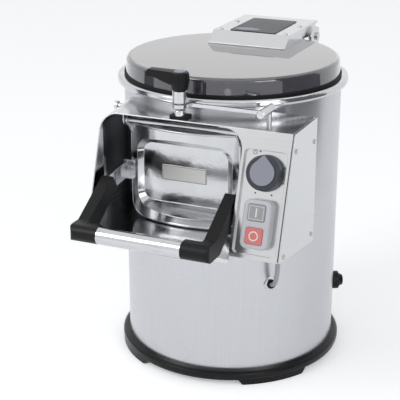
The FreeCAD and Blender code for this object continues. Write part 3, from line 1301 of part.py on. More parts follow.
NODES = [
    ("base_ring", make_base_ring),
    ("bottom_plate", make_bottom_plate),
    ("drum_shell", make_drum_shell),
    ("rim_bead", make_rim_bead),
    ("abrasive_liner", make_liner),
    ("chamber_floor", make_chamber_floor),
    ("lid_gasket", make_lid_gasket),
    ("lid_dome", make_lid_dome),
    ("hinge_box", make_hinge_box),
    ("hinge_inlay", make_hinge_inlay),
    ("hinge_box_screws", make_hinge_box_screws),
    ("lid_hinge_bracket", make_lid_hinge_bracket),
    ("lid_hinge_pin", make_lid_hinge_pin),
    ("housing_shell", make_housing_shell),
    ("side_cover", make_side_cover),
    ("housing_screws", make_housing_screws),
    ("chute_divider", make_chute_divider),
    ("chute_floor", make_chute_floor),
    ("control_plate", make_control_plate),
    ("timer_knob", make_timer_knob),
    ("knob_pointer", make_knob_pointer),
    ("timer_shaft", make_timer_shaft),
    ("timer_body", make_timer_body),
    ("switch_housing", make_switch_housing),
    ("start_button", lambda: make_button(BUTTON_OFFSET)),
    ("stop_button", lambda: make_button(-BUTTON_OFFSET)),
    ("switch_block", make_switch_block),
    ("discharge_door", make_door),
    ("door_seal", make_door_seal),
    ("label_plate", make_label_plate),
    ("discharge_throat", make_discharge_throat),
    ("door_hinge_pin", make_door_hinge_pin),
    ("door_hinge_brackets", make_door_hinge_brackets),
    ("handle_arms", make_handle_arms),
    ("handle_grip", make_handle_grip),
    ("handle_bolts", make_handle_bolts),
    ("clamp_pad", make_clamp_pad),
    ("clamp_post", make_clamp_post),
    ("clamp_sleeve", make_clamp_sleeve),
    ("clamp_lever", make_clamp_lever),
    ("clamp_cap", make_clamp_cap),
    ("tie_bar", make_tie_bar),
    ("tie_barrel", make_tie_barrel),
    ("peeling_plate", make_peeling_plate),
    ("plate_cap", make_plate_cap),
    ("plate_spindle", make_spindle),
    ("bearing_housing", make_bearing_housing),
    ("spindle_bearings", make_spindle_bearings),
    ("shaft_seal", make_shaft_seal),
    ("driven_pulley", make_driven_pulley),
    ("motor_pulley", make_motor_pulley),
    ("drive_belt", make_drive_belt),
    ("motor_body", make_motor_body),
    ("motor_shaft", make_motor_shaft),
    ("motor_mount", make_motor_mount),
    ("water_inlet", make_water_inlet),
    ("drain_pipe", make_drain_pipe),
]

CONNECTIONS = [
    ("cable_gland", make_cable_gland),
    ("control_cable", make_control_cable),
    ("cable_grommets", make_cable_grommets),
]

os.makedirs("parts", exist_ok=True)
for node_name, make in NODES + CONNECTIONS:
    save(node_name, make())
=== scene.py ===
"""Finishes, small fittings and a plain studio for a table-top potato peeler.

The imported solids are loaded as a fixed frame. Every piece is modelled about the drum's
axis, in metres, and is moved to its place in the frame when it is made.
"""
import math

import bmesh
import bpy
from bpy.props import FloatProperty, FloatVectorProperty, IntProperty, PointerProperty
from mathutils import Matrix, Vector


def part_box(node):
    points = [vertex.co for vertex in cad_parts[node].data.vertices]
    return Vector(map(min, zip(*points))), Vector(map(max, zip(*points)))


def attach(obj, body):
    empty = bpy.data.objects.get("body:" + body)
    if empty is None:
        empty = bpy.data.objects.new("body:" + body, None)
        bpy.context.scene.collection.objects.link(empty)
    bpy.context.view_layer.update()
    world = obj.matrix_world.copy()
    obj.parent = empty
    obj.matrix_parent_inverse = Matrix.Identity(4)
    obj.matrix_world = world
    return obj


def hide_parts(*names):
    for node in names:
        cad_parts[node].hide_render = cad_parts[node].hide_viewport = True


bl_info = {
    "name": "Potato Peeler Finishes",
    "version": (1, 0, 0),
    "blender": (4, 5, 0),
    "location": "3D View > Sidebar > Peeler",
    "description": "Gives a table-top potato peeler its finishes, small fittings and studio",
    "category": "Object",
}

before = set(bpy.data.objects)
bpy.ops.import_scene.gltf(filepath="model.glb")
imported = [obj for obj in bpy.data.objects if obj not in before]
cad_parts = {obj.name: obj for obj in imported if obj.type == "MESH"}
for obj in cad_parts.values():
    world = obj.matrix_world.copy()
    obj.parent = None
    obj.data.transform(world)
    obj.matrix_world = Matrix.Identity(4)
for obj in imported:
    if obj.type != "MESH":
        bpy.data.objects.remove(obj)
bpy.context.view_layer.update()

# Where the drum's axis stands in the frame
DRUM_AXIS_Y = 0.061
TO_FRAME = Matrix.Translation((0.0, DRUM_AXIS_Y, 0.0))

# Sloping front of the control box: its top edge, its slope and the tilt of its normal
FRONT_TOP_Y = -0.216
FRONT_TOP_Z = 0.4235
FRONT_SLOPE = 0.3264
FRONT_TILT = math.atan2(1.0, FRONT_SLOPE)
CONTROL_X = 0.1415
KNOB_Z = 0.371
SWITCH_Z = 0.306
PANEL_DEPTH = -0.005
BUTTON_FACE = 0.0145
BUTTON_OFFSET = 0.0155

# Route of the control cable: distance out of the drum, and height
DRUM_R = 0.165
CABLE_ANGLE = math.radians(43.0)
CABLE_ROUTE = ((0.024, 0.2385), (0.0255, 0.206), (0.022, 0.176), (0.012, 0.1625), (0.004, 0.160))
CABLE_RADIUS = 0.0035
CABLE_ENTRY_Z = 0.160

# Dots round the timer, in degrees from the right; those at the sides stand closer to the knob
DOT_ANGLES = (22.0, -23.0, -68.0, -113.0, 113.0)
SIDE_DOT_RING = 0.0272
SIDE_DOT_COSINE = 0.9
CLOCK_SPOT = (-0.0190, 0.0262, 0.0)

# Screws on the lid's hinge box
LID_SCREW_X = (-0.054, 0.054)
LID_SCREW_Y = (0.084, 0.152)
LID_BOX_TOP = 0.4891

# Edge of the discharge door: left, right, low and high, with its corner radii and the radius of its face
DOOR_LEFT, DOOR_RIGHT, DOOR_LOW, DOOR_HIGH = -0.090, 0.082, 0.258, 0.398
DOOR_MIDDLE_Z = 0.3
DOOR_LOW_CORNER = 0.024
DOOR_HIGH_CORNER = 0.010
DOOR_FACE_R = 0.190 - 0.0016
DOOR_CORNER_STEPS = 6
DOOR_RUN_STEP = 0.006

# Oval badge on the inlay, and the clamp's hub
BADGE_PLACE = (-0.0125, 0.0925, 0.4901)
BADGE_STRETCH = 1.9
HUB_X, HUB_Y, HUB_RIB_Z = 0.003, -0.200, 0.4715
HUB_RING = 0.0121
LEVER_SIDE_COSINE = -0.7

# Photograph's camera: heading to the right of the chute, distance from the drum's axis, height and aim
CAMERA_HEADING = math.radians(22.0)
CAMERA_DISTANCE = 1.682
CAMERA_HEIGHT = 0.8483
CAMERA_AIM_LEFT = 0.0298
CAMERA_AIM_DOWN = -0.3652
CAMERA_LENS = 101.4


def linear(hex_colour):
    """Turn an sRGB hex value into linear red, green and blue."""
    channels = [int(hex_colour[i:i + 2], 16) / 255.0 for i in (1, 3, 5)]
    return tuple(c / 12.92 if c <= 0.04045 else ((c + 0.055) / 1.055) ** 2.4 for c in channels)


class PeelerSizes(bpy.types.PropertyGroup):
    """Sizes of the small fittings."""

    mark_radius: FloatProperty(
        name="Dial mark radius", description="Radius of one printed dot round the timer",
        default=0.0012, unit="LENGTH")
    mark_ring: FloatProperty(
        name="Dial mark ring", description="Distance of the dots from the knob's centre",
        default=0.0302, unit="LENGTH")
    mark_height: FloatProperty(
        name="Print height", description="Thickness of the printed marks",
        default=0.0002, unit="LENGTH")
    screw_radius: FloatProperty(
        name="Screw head radius", description="Radius of a pan head screw",
        default=0.0036, unit="LENGTH")
    screw_height: FloatProperty(
        name="Screw head height", description="Height of a pan head screw",
        default=0.0020, unit="LENGTH")
    rim_radius: FloatProperty(
        name="Door rim radius", description="Radius of the bead rolled round the door's edge",
        default=0.0021, unit="LENGTH")
    rib_count: IntProperty(
        name="Hub ribs", description="Number of grip ribs round the clamp's hub",
        default=16, min=4)
    rib_radius: FloatProperty(
        name="Hub rib radius", description="Radius of one grip rib",
        default=0.0013, unit="LENGTH")


class PeelerColours(bpy.types.PropertyGroup):
    """Base colours of the main finishes."""

    drum: FloatVectorProperty(
        name="Drum steel", description="Brushed stainless steel of the drum",
        default=linear("#C9CACE"), subtype="COLOR")
    sheet: FloatVectorProperty(
        name="Sheet steel", description="Bright stainless sheet of the chute and control box",
        default=linear("#D2D3D5"), subtype="COLOR")
    lid: FloatVectorProperty(
        name="Lid", description="Smoked polycarbonate of the lid",
        default=linear("#85848F"), subtype="COLOR")
    black: FloatVectorProperty(
        name="Black plastic", description="Handle, base ring and clamp lever",
        default=linear("#0C0D0F"), subtype="COLOR")
    stop: FloatVectorProperty(
        name="Stop button", description="Light red of the stop button",
        default=linear("#E2827E"), subtype="COLOR")


# Materials

def new_material(name):
    """Empty node material, or the one already made under this name."""
    material = bpy.data.materials.get(name)
    if material is not None:
        return material, False
    material = bpy.data.materials.new(name)
    material.use_nodes = True
    material.node_tree.nodes.clear()
    return material, True


def add_node(tree, kind, settings=None, links=None):
    """Add one node, fill its fields and sockets, and join its sockets to their sources."""
    node = tree.nodes.new(kind)
    for key, value in (settings or {}).items():
        if isinstance(key, int) or key in node.inputs.keys():
            node.inputs[key].default_value = value
        else:
            setattr(node, key, value)
    for key, source in (links or {}).items():
        tree.links.new(source, node.inputs[key])
    return node


def surface(name, light, dark, pattern, relief, roughness, shader, edge=0.0):
    """Finish whose colour, gloss and relief all come from one fine pattern and one broad one.

    pattern is the fine pattern's repeats per metre along X, Y and Z.
    """
    material, fresh = new_material(name)
    if not fresh:
        return material
    tree = material.node_tree
    place = add_node(tree, "ShaderNodeTexCoord")
    stretch = add_node(tree, "ShaderNodeMapping", {"Scale": pattern}, {"Vector": place.outputs["Object"]})
    fine = add_node(tree, "ShaderNodeTexNoise", {"Scale": 1.0, "Detail": 4.0, "Roughness": 0.55},
                    {"Vector": stretch.outputs["Vector"]})
    broad = add_node(tree, "ShaderNodeTexNoise", {"Scale": 9.0, "Detail": 2.0},
                     {"Vector": place.outputs["Object"]})
    both = add_node(tree, "ShaderNodeMath", {"operation": "MULTIPLY_ADD", 1: 0.5},
                    {0: broad.outputs["Fac"], 2: fine.outputs["Fac"]})
    spread = add_node(tree, "ShaderNodeMapRange", {"From Min": 0.45, "From Max": 1.05},
                      {"Value": both.outputs["Value"]})
    tint = add_node(tree, "ShaderNodeMix", {"data_type": "RGBA", 6: (*dark, 1.0), 7: (*light, 1.0)},
                    {0: spread.outputs["Result"]})
    gloss = add_node(tree, "ShaderNodeMapRange", {"From Min": 0.3, "From Max": 0.7, "To Min": roughness[0],
                                                  "To Max": roughness[1]},
                     {"Value": broad.outputs["Fac"]})
    bump_links = {"Height": fine.outputs["Fac"]}
    if edge:
        worn = add_node(tree, "ShaderNodeBevel", {"samples": 4, "Radius": edge})
        bump_links["Normal"] = worn.outputs["Normal"]
    bump = add_node(tree, "ShaderNodeBump", {"Strength": 1.0, "Distance": relief}, bump_links)
    principled = add_node(tree, "ShaderNodeBsdfPrincipled", shader,
                          {"Base Color": tint.outputs[2], "Roughness": gloss.outputs["Result"],
                           "Normal": bump.outputs["Normal"]})
    add_node(tree, "ShaderNodeOutputMaterial", None, {"Surface": principled.outputs["BSDF"]})
    return material


def shade(colour, factor):
    """A darker or lighter copy of a colour."""
    return tuple(min(c * factor, 1.0) for c in colour)


METAL = {"Metallic": 1.0}
PLASTIC = {"Metallic": 0.0, "IOR": 1.5}
MATT_PLASTIC = {"Metallic": 0.0, "IOR": 1.5, "Specular IOR Level": 0.25}


def finishes():
    """All finishes of the peeler, each named for what it is and how it was made."""
    colours = bpy.context.scene.peeler_colours
    black = tuple(colours.black)
    made = {}
    # Stainless sheet ground with an upright belt: fine upright lines spread highlights round the drum
    made["drum"] = surface("stainless_drum_upright_grain", tuple(colours.drum), shade(colours.drum, 0.93),
                           (700.0, 700.0, 9.0), 0.000012, (0.24, 0.32),
                           {"Metallic": 1.0, "Anisotropic": 0.35},
                           0.0008)
    # Bright annealed sheet, folded: clear reflections with a faint level grain
    made["sheet"] = surface("stainless_sheet_bright", tuple(colours.sheet), shade(colours.sheet, 0.95),
                            (12.0, 500.0, 500.0), 0.000008, (0.13, 0.20), METAL, 0.0009)
    # Deep drawn and polished: mirror-like with slow waves from the press
    made["drawn"] = surface("stainless_drawn_polished", linear("#CDCED0"), linear("#BFC0C3"),
                            (35.0, 35.0, 35.0), 0.00025, (0.09, 0.15), METAL, 0.0012)
    # Turned on a lathe and polished
    made["turned"] = surface("stainless_turned", linear("#D4D5D7"), linear("#BEBFC2"), (60.0, 60.0, 900.0),
                             0.000006, (0.10, 0.17), METAL, 0.0004)
    # Polyamide moulded against an etched tool: fine leather grain, soft shine
    made["black"] = surface("black_polyamide_etched", shade(black, 1.25), shade(black, 0.85),
                            (900.0, 900.0, 900.0), 0.00005, (0.36, 0.46), MATT_PLASTIC, 0.0008)
    # The same plastic from a polished tool, on the base ring's lip
    made["base"] = surface("black_base_moulding", shade(black, 1.1), shade(black, 0.8),
                            (500.0, 500.0, 500.0), 0.00003, (0.26, 0.34), MATT_PLASTIC, 0.0012)
    # EPDM moulding for seals and pads: a dull black that hardly shines
    made["rubber"] = surface("black_epdm_rubber", linear("#1C1C1E"), linear("#111113"),
                            (700.0, 700.0, 700.0), 0.00004, (0.55, 0.68), MATT_PLASTIC)
    # Charcoal moulding with a satin skin, so the knob reads rounder than the plate behind it
    made["knob"] = surface("charcoal_knob_moulding", linear("#343A42"), linear("#272C33"),
                           (1100.0, 1100.0, 1100.0), 0.00003, (0.33, 0.42), PLASTIC, 0.0008)
    # Grey moulded inlay with a matt face, for the pointer and the cap of the lever
    made["pointer"] = surface("grey_pointer_inlay", linear("#9B9DA8"), linear("#8A8C97"),
                              (1200.0, 1200.0, 1200.0), 0.000015, (0.38, 0.46), PLASTIC, 0.0004)
    # ABS switch case from a spark-eroded tool: pale grey with a soft, even shine
    made["switch"] = surface("grey_abs_switch_case", linear("#CFD0D3"), linear("#C2C3C7"),
                             (1000.0, 1000.0, 1000.0), 0.000025, (0.38, 0.48), PLASTIC, 0.0008)
    # Start button, a shade darker than its case and smoother
    made["start"] = surface("start_button_grey", linear("#A6A8AC"), linear("#989A9F"),
                            (1000.0, 1000.0, 1000.0), 0.00002, (0.30, 0.38), PLASTIC, 0.0006)
    # Stop button: pale red all through, with the same smooth face
    made["stop"] = surface("stop_button_red", tuple(colours.stop), shade(colours.stop, 0.9),
                           (1000.0, 1000.0, 1000.0), 0.00002, (0.30, 0.38), PLASTIC, 0.0006)
    # Pad printed ink, cream and without shine
    made["print_white"] = surface("pad_print_cream", linear("#F4EFE4"), linear("#E8E2D6"),
                                  (1500.0, 1500.0, 1500.0), 0.00001, (0.45, 0.55), PLASTIC)
    # Pad printed ink, slate grey and without shine
    made["print_dark"] = surface("pad_print_slate", linear("#4A4F58"), linear("#3C4149"),
                                 (1500.0, 1500.0, 1500.0), 0.00001, (0.45, 0.55), PLASTIC)
    # Dark laminate set in the hinge box: navy, and smooth enough to be even from a low angle
    made["inlay"] = surface("dark_gloss_laminate", linear("#1B2130"), linear("#141925"),
                            (900.0, 900.0, 900.0), 0.00001, (0.22, 0.30),
                            {"Metallic": 0.0, "IOR": 1.5, "Specular IOR Level": 0.12}, 0.0004)
    # Blank printed oval, a grey with some violet
    made["badge"] = surface("grey_blank_badge", linear("#77778A"), linear("#6A6A7C"),
                            (900.0, 900.0, 900.0), 0.00001, (0.22, 0.30), PLASTIC, 0.0003)
    # Aluminium label with a level satin grain: paler than the door behind it
    made["label"] = surface("satin_aluminium_label", linear("#D8D7D5"), linear("#CDCCCA"),
                            (900.0, 30.0, 900.0), 0.000008, (0.30, 0.38), METAL, 0.0003)
    # PVC sheath, pale grey and slightly dull
    made["cable"] = surface("grey_pvc_sheath", linear("#B6B8BB"), linear("#A4A6AA"), (500.0, 500.0, 500.0),
                            0.00003, (0.42, 0.52), PLASTIC)
    # Silicon carbide grit in resin: dark, rough, with bright and black grains
    made["grit"] = surface("silicon_carbide_grit", linear("#5E5B57"), linear("#2E2C2A"),
                            (420.0, 420.0, 420.0), 0.0009, (0.70, 0.88), PLASTIC)
    # Sand cast aluminium: a dull grey with the skin of the mould
    made["cast"] = surface("sand_cast_aluminium", linear("#B9B9BA"), linear("#9C9C9F"),
                            (260.0, 260.0, 260.0), 0.00018, (0.42, 0.55), METAL)
    # Ground bearing steel: a sharp, clear shine with fine turning lines
    made["ground"] = surface("ground_bearing_steel", linear("#C9CACC"), linear("#BBBCBF"),
                             (80.0, 80.0, 900.0), 0.000004, (0.10, 0.15), METAL)
    # Belt rubber whose ribs run round the loop
    made["belt"] = surface("ribbed_belt_rubber", linear("#222224"), linear("#141416"),
                            (300.0, 300.0, 2200.0), 0.0001, (0.60, 0.72), PLASTIC)
    # Stove enamel over the motor casing: blue grey with a faint orange peel
    made["enamel"] = surface("motor_stove_enamel", linear("#3F4A57"), linear("#35404C"),
                            (300.0, 300.0, 300.0), 0.00005, (0.32, 0.42), PLASTIC, 0.0006)
    # Brass fitting under nickel plate: a warm, bright grey
    made["nickel"] = surface("nickel_plated_brass", linear("#C9C5BC"), linear("#BBB7AE"),
                            (400.0, 400.0, 400.0), 0.00001, (0.18, 0.26), METAL, 0.0005)
    # Polypropylene pipe: mid grey and waxy
    made["pipe"] = surface("grey_polypropylene_pipe", linear("#8C8E91"), linear("#7C7E82"),
                           (500.0, 500.0, 500.0), 0.00003, (0.40, 0.50), PLASTIC, 0.0008)
    # Clear smoked sheet, vacuum formed: it reflects the room and lets the dark drum show through
    made["smoked"] = surface("smoked_polycarbonate", tuple(colours.lid), shade(colours.lid, 0.97),
                             (20.0, 20.0, 20.0), 0.00003, (0.03, 0.06),
                             {"Metallic": 0.0, "IOR": 1.58, "Transmission Weight": 0.88, "Coat Weight": 1.0,
                              "Coat IOR": 1.6, "Coat Roughness": 0.05})
    return made


NODE_FINISHES = {
    "base_ring": "base", "bottom_plate": "sheet", "drum_shell": "drum", "rim_bead": "turned",
    "abrasive_liner": "grit", "chamber_floor": "cast", "lid_gasket": "rubber", "lid_dome": "smoked",
    "hinge_box": "sheet", "hinge_inlay": "inlay", "hinge_box_screws": "turned",
    "lid_hinge_bracket": "sheet", "lid_hinge_pin": "turned", "housing_shell": "sheet",
    "side_cover": "sheet", "housing_screws": "turned", "chute_divider": "sheet", "chute_floor": "sheet",
    "control_plate": "sheet", "timer_knob": "knob", "knob_pointer": "pointer", "timer_shaft": "turned",
    "timer_body": "switch", "switch_housing": "switch", "start_button": "start", "stop_button": "stop",
    "switch_block": "black", "discharge_door": "drawn", "door_seal": "rubber", "label_plate": "label",
    "discharge_throat": "sheet", "door_hinge_pin": "turned", "door_hinge_brackets": "sheet",
    "handle_arms": "black", "handle_grip": "turned", "handle_bolts": "turned", "clamp_pad": "rubber",
    "clamp_post": "turned", "clamp_sleeve": "turned", "clamp_lever": "black", "clamp_cap": "pointer",
    "tie_bar": "turned", "tie_barrel": "turned", "peeling_plate": "grit", "plate_cap": "turned",
    "plate_spindle": "ground", "bearing_housing": "cast", "spindle_bearings": "ground",
    "shaft_seal": "rubber", "driven_pulley": "cast", "motor_pulley": "cast", "drive_belt": "belt",
    "motor_body": "enamel", "motor_shaft": "ground", "motor_mount": "sheet", "water_inlet": "nickel",
    "drain_pipe": "pipe", "cable_gland": "black", "control_cable": "cable", "cable_grommets": "rubber",
}


# Making of pieces

def make_piece(name, bm, finish, body, place=None):
    """Turn a finished bmesh into an object that rides on a body and takes one finish."""
    matrix = TO_FRAME if place is None else TO_FRAME @ place
    bmesh.ops.transform(bm, matrix=matrix, verts=bm.verts)
    bmesh.ops.remove_doubles(bm, verts=bm.verts, dist=1e-7)
    bmesh.ops.recalc_face_normals(bm, faces=bm.faces)
    mesh = bpy.data.meshes.new(name)
    bm.to_mesh(mesh)
    bm.free()
    mesh.shade_smooth()
    mesh.set_sharp_from_angle(angle=math.radians(38.0))
    mesh.materials.append(finishes()[finish])
    made = bpy.data.objects.new(name, mesh)
    bpy.context.scene.collection.objects.link(made)
    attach(made, body)
    return made


def turn_profile(bm, profile, steps, place=None):
    """Spin (radius, height) points about Z and return the new vertices."""
    before = set(bm.verts)
    verts = [bm.verts.new((radius, 0.0, height)) for radius, height in profile]
    edges = [bm.edges.new(pair) for pair in zip(verts, verts[1:])]
    if profile[0][0] > 0.0:
        edges.append(bm.edges.new((verts[-1], verts[0])))
    bmesh.ops.spin(bm, geom=verts + edges, cent=(0, 0, 0), axis=(0, 0, 1), angle=2.0 * math.pi, steps=steps,
                   use_merge=True)
    fresh = [v for v in bm.verts if v not in before]
    bmesh.ops.remove_doubles(bm, verts=fresh, dist=1e-7)
    fresh = [v for v in bm.verts if v not in before]
    if place is not None:
        bmesh.ops.transform(bm, matrix=place, verts=fresh)
    return fresh


def add_bar(bm, size, place, round_by):
    """Add one bevelled bar of the given size."""
    made = bmesh.ops.create_cube(bm, size=1.0)
    verts = made["verts"]
    bmesh.ops.scale(bm, vec=size, verts=verts)
    edges = list({edge for vert in verts for edge in vert.link_edges})
    rounded = bmesh.ops.bevel(bm, geom=edges, offset=round_by, offset_type="OFFSET", segments=2,
                              profile=0.5, affect="EDGES", material=-1, clamp_overlap=True)
    everything = set(rounded["verts"]) | {v for v in verts if v.is_valid}
    bmesh.ops.transform(bm, matrix=place, verts=list(everything))


def add_frame(bm, width, height, line, thick, place):
    """Add a thin flat rectangular frame that lies on XY."""
    made = bmesh.ops.create_grid(bm, x_segments=1, y_segments=1, size=0.5)
    verts = made["verts"]
    bmesh.ops.scale(bm, vec=(width, height, 1.0), verts=verts)
    face = verts[0].link_faces[0]
    bmesh.ops.inset_region(bm, faces=[face], thickness=line, use_boundary=True, use_even_offset=True)
    ring = [f for v in verts for f in v.link_faces if f is not face]
    bmesh.ops.delete(bm, geom=[face], context="FACES_ONLY")
    ring = list(set(ring))
    flat = {v for f in ring for v in f.verts}
    raised = bmesh.ops.extrude_face_region(bm, geom=ring)
    lifted = [g for g in raised["geom"] if isinstance(g, bmesh.types.BMVert)]
    bmesh.ops.translate(bm, vec=(0.0, 0.0, thick), verts=lifted)
    bmesh.ops.transform(bm, matrix=place, verts=list(flat | set(lifted)))


def on_front(x, z, out=0.0):
    """Place on the sloping front: X across, Y up the slope, Z out of it."""
    face_y = FRONT_TOP_Y - (FRONT_TOP_Z - z) * FRONT_SLOPE
    return (Matrix.Translation((x, face_y, z)) @ Matrix.Rotation(FRONT_TILT, 4, "X")
            @ Matrix.Translation((0.0, 0.0, out)))


def pan_head(bm, radius, height, place):
    """Pan head with a round driver recess."""
    profile = [(0.0, height * 0.35), (radius * 0.34, height * 0.40), (radius * 0.38, height * 0.97),
               (radius * 0.62, height * 0.95), (radius * 0.86, height * 0.74),
               (radius * 0.98, height * 0.38),
               (radius, 0.0), (0.0, 0.0)]
    return turn_profile(bm, profile, 20, place)


# Operators

class PEELER_OT_cable(bpy.types.Operator):
    """Hang the short control cable between the box and the drum"""

    bl_idname = "peeler.cable"
    bl_label = "Control cable"

    def execute(self, context):
        curve = bpy.data.curves.new("control_lead", "CURVE")
        curve.dimensions = "3D"
        curve.bevel_depth = CABLE_RADIUS
        curve.bevel_resolution = 6
        curve.resolution_u = 16
        curve.use_fill_caps = True
        line = curve.splines.new("NURBS")
        line.points.add(len(CABLE_ROUTE) - 1)
        for point, (out, height) in zip(line.points, CABLE_ROUTE):
            reach = DRUM_R + out
            point.co = (reach * math.sin(CABLE_ANGLE), DRUM_AXIS_Y - reach * math.cos(CABLE_ANGLE),
                        height, 1.0)
        line.order_u = 3
        line.use_endpoint_u = True
        curve.materials.append(finishes()["cable"])
        lead = bpy.data.objects.new("control_lead", curve)
        context.scene.collection.objects.link(lead)
        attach(lead, "root")
        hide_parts("control_cable")
        return {"FINISHED"}


class PEELER_OT_finishes(bpy.types.Operator):
    """Give every solid of the frame its finish"""

    bl_idname = "peeler.finishes"
    bl_label = "Finishes"

    def execute(self, context):
        made = finishes()
        for name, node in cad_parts.items():
            finish = made[NODE_FINISHES[name]]
            if not node.material_slots:
                node.data.materials.append(finish)
            for slot in node.material_slots:
                slot.material = finish
        return {"FINISHED"}


class PEELER_OT_dial_marks(bpy.types.Operator):
    """Print the dots and the small clock round the timer knob"""

    bl_idname = "peeler.dial_marks"
    bl_label = "Dial marks"

    def execute(self, context):
        sizes = context.scene.peeler_sizes
        centre = on_front(CONTROL_X, KNOB_Z, PANEL_DEPTH)
        bm = bmesh.new()
        dot = [(0.0, sizes.mark_height), (sizes.mark_radius, sizes.mark_height),
               (sizes.mark_radius, 0.0), (0.0, 0.0)]
        for degrees in DOT_ANGLES:
            turn = math.radians(degrees)
            ring = SIDE_DOT_RING if abs(math.cos(turn)) > SIDE_DOT_COSINE else sizes.mark_ring
            spot = Matrix.Translation((ring * math.cos(turn), ring * math.sin(turn), 0.0))
            turn_profile(bm, dot, 16, centre @ spot)
        clock = centre @ Matrix.Translation(CLOCK_SPOT)
        line = [(0.0026, sizes.mark_height), (0.0032, sizes.mark_height), (0.0032, 0.0), (0.0026, 0.0)]
        turn_profile(bm, line, 32, clock)
        for size, spot in (((0.0005, 0.0022, 0.0002), (0.0, 0.0009, 0.0001)),
                           ((0.0016, 0.0005, 0.0002), (0.0006, 0.0, 0.0001)),
                           ((0.0016, 0.0006, 0.0002), (0.0, 0.0041, 0.0001))):
            add_bar(bm, size, clock @ Matrix.Translation(spot), 0.00004)
        make_piece("dial_marks", bm, "print_dark", "root")
        return {"FINISHED"}


class PEELER_OT_switch_marks(bpy.types.Operator):
    """Put the bar and the ring on the two push buttons"""

    bl_idname = "peeler.switch_marks"
    bl_label = "Switch marks"

    def execute(self, context):
        centre = on_front(CONTROL_X, SWITCH_Z, BUTTON_FACE)
        bm = bmesh.new()
        add_bar(bm, (0.0020, 0.0120, 0.0004),
                centre @ Matrix.Translation((0.0, BUTTON_OFFSET, 0.0001)), 0.0001)
        add_frame(bm, 0.0205, 0.0180, 0.0006, 0.00015,
                  centre @ Matrix.Translation((0.0, BUTTON_OFFSET, 0.0)))
        make_piece("start_mark", bm, "print_white", "start")
        bm = bmesh.new()
        ring = [(0.0050, 0.0003), (0.0066, 0.0003), (0.0066, -0.0001), (0.0050, -0.0001)]
        turn_profile(bm, ring, 40, centre @ Matrix.Translation((0.0, -BUTTON_OFFSET, 0.0)))
        make_piece("stop_mark", bm, "print_white", "stop")
        return {"FINISHED"}


class PEELER_OT_screws(bpy.types.Operator):
    """Set four pan head screws in the lid's hinge box"""

    bl_idname = "peeler.screws"
    bl_label = "Screws"

    def execute(self, context):
        sizes = context.scene.peeler_sizes
        bm = bmesh.new()
        for x in LID_SCREW_X:
            for y in LID_SCREW_Y:
                pan_head(bm, sizes.screw_radius, sizes.screw_height,
                         Matrix.Translation((x, y, LID_BOX_TOP)))
        lid_screws = make_piece("lid_box_screws", bm, "turned", "lid")
        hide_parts("hinge_box_screws")
        return {"FINISHED"}


class PEELER_OT_door_rim(bpy.types.Operator):
    """Roll a bead round the edge of the discharge door"""

    bl_idname = "peeler.door_rim"
    bl_label = "Door rim"

    def execute(self, context):
        sizes = context.scene.peeler_sizes
        corners = ((DOOR_RIGHT, DOOR_LOW, DOOR_LOW_CORNER, -90.0),
                   (DOOR_RIGHT, DOOR_HIGH, DOOR_HIGH_CORNER, 0.0),
                   (DOOR_LEFT, DOOR_HIGH, DOOR_HIGH_CORNER, 90.0),
                   (DOOR_LEFT, DOOR_LOW, DOOR_LOW_CORNER, 180.0))
        inset = sizes.rim_radius * 0.5
        points = []
        for x, z, radius, begin in corners:
            side = 1.0 if x > 0.0 else -1.0
            rise = 1.0 if z > DOOR_MIDDLE_Z else -1.0
            middle = (x - side * radius, z - rise * radius)
            for step in range(DOOR_CORNER_STEPS + 1):
                turn = math.radians(begin + 90.0 / DOOR_CORNER_STEPS * step)
                points.append((middle[0] + (radius - inset) * math.cos(turn),
                               middle[1] + (radius - inset) * math.sin(turn)))
        curve = bpy.data.curves.new("door_rim_line", "CURVE")
        curve.dimensions = "3D"
        curve.bevel_depth = sizes.rim_radius
        curve.bevel_resolution = 4
        line = curve.splines.new("POLY")
        run = []
        for index, here in enumerate(points):
            ahead = points[(index + 1) % len(points)]
            parts = max(int(math.hypot(ahead[0] - here[0], ahead[1] - here[1]) / DOOR_RUN_STEP), 1)
            for part in range(parts):
                share = part / parts
                run.append((here[0] + (ahead[0] - here[0]) * share,
                            here[1] + (ahead[1] - here[1]) * share))
        line.points.add(len(run) - 1)
        for point, (x, z) in zip(line.points, run):
            point.co = (x, -math.sqrt(DOOR_FACE_R ** 2 - x ** 2), z, 1.0)
        line.use_cyclic_u = True
        holder = bpy.data.objects.new("door_rim_line", curve)
        mesh = bpy.data.meshes.new_from_object(holder)
        bm = bmesh.new()
        bm.from_mesh(mesh)
        bpy.data.objects.remove(holder)
        bpy.data.curves.remove(curve)
        bpy.data.meshes.remove(mesh)
        make_piece("door_rolled_rim", bm, "drawn", "door")
        return {"FINISHED"}


class PEELER_OT_badges(bpy.types.Operator):
    """Lay a blank oval on the dark inlay and a fine line round the bare label plate"""

    bl_idname = "peeler.badges"
    bl_label = "Blank badges"

    def execute(self, context):
        bm = bmesh.new()
        oval = [(0.0, 0.0005), (0.0105, 0.0005), (0.0110, 0.0003), (0.0110, 0.0), (0.0, 0.0)]
        stretch = Matrix.Diagonal((BADGE_STRETCH, 1.0, 1.0, 1.0))
        turn_profile(bm, oval, 48, Matrix.Translation(BADGE_PLACE) @ stretch)
        make_piece("blank_oval_badge", bm, "badge", "lid")
        bm = bmesh.new()
        low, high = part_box("label_plate")
        place = (Matrix.Translation(((low[0] + high[0]) / 2, low[1] - DRUM_AXIS_Y, (low[2] + high[2]) / 2))
                 @ Matrix.Rotation(math.radians(90.0), 4, "X"))
        add_frame(bm, 0.0685, 0.0215, 0.0006, 0.0001, place)
        make_piece("label_edge_line", bm, "print_dark", "door")
        return {"FINISHED"}


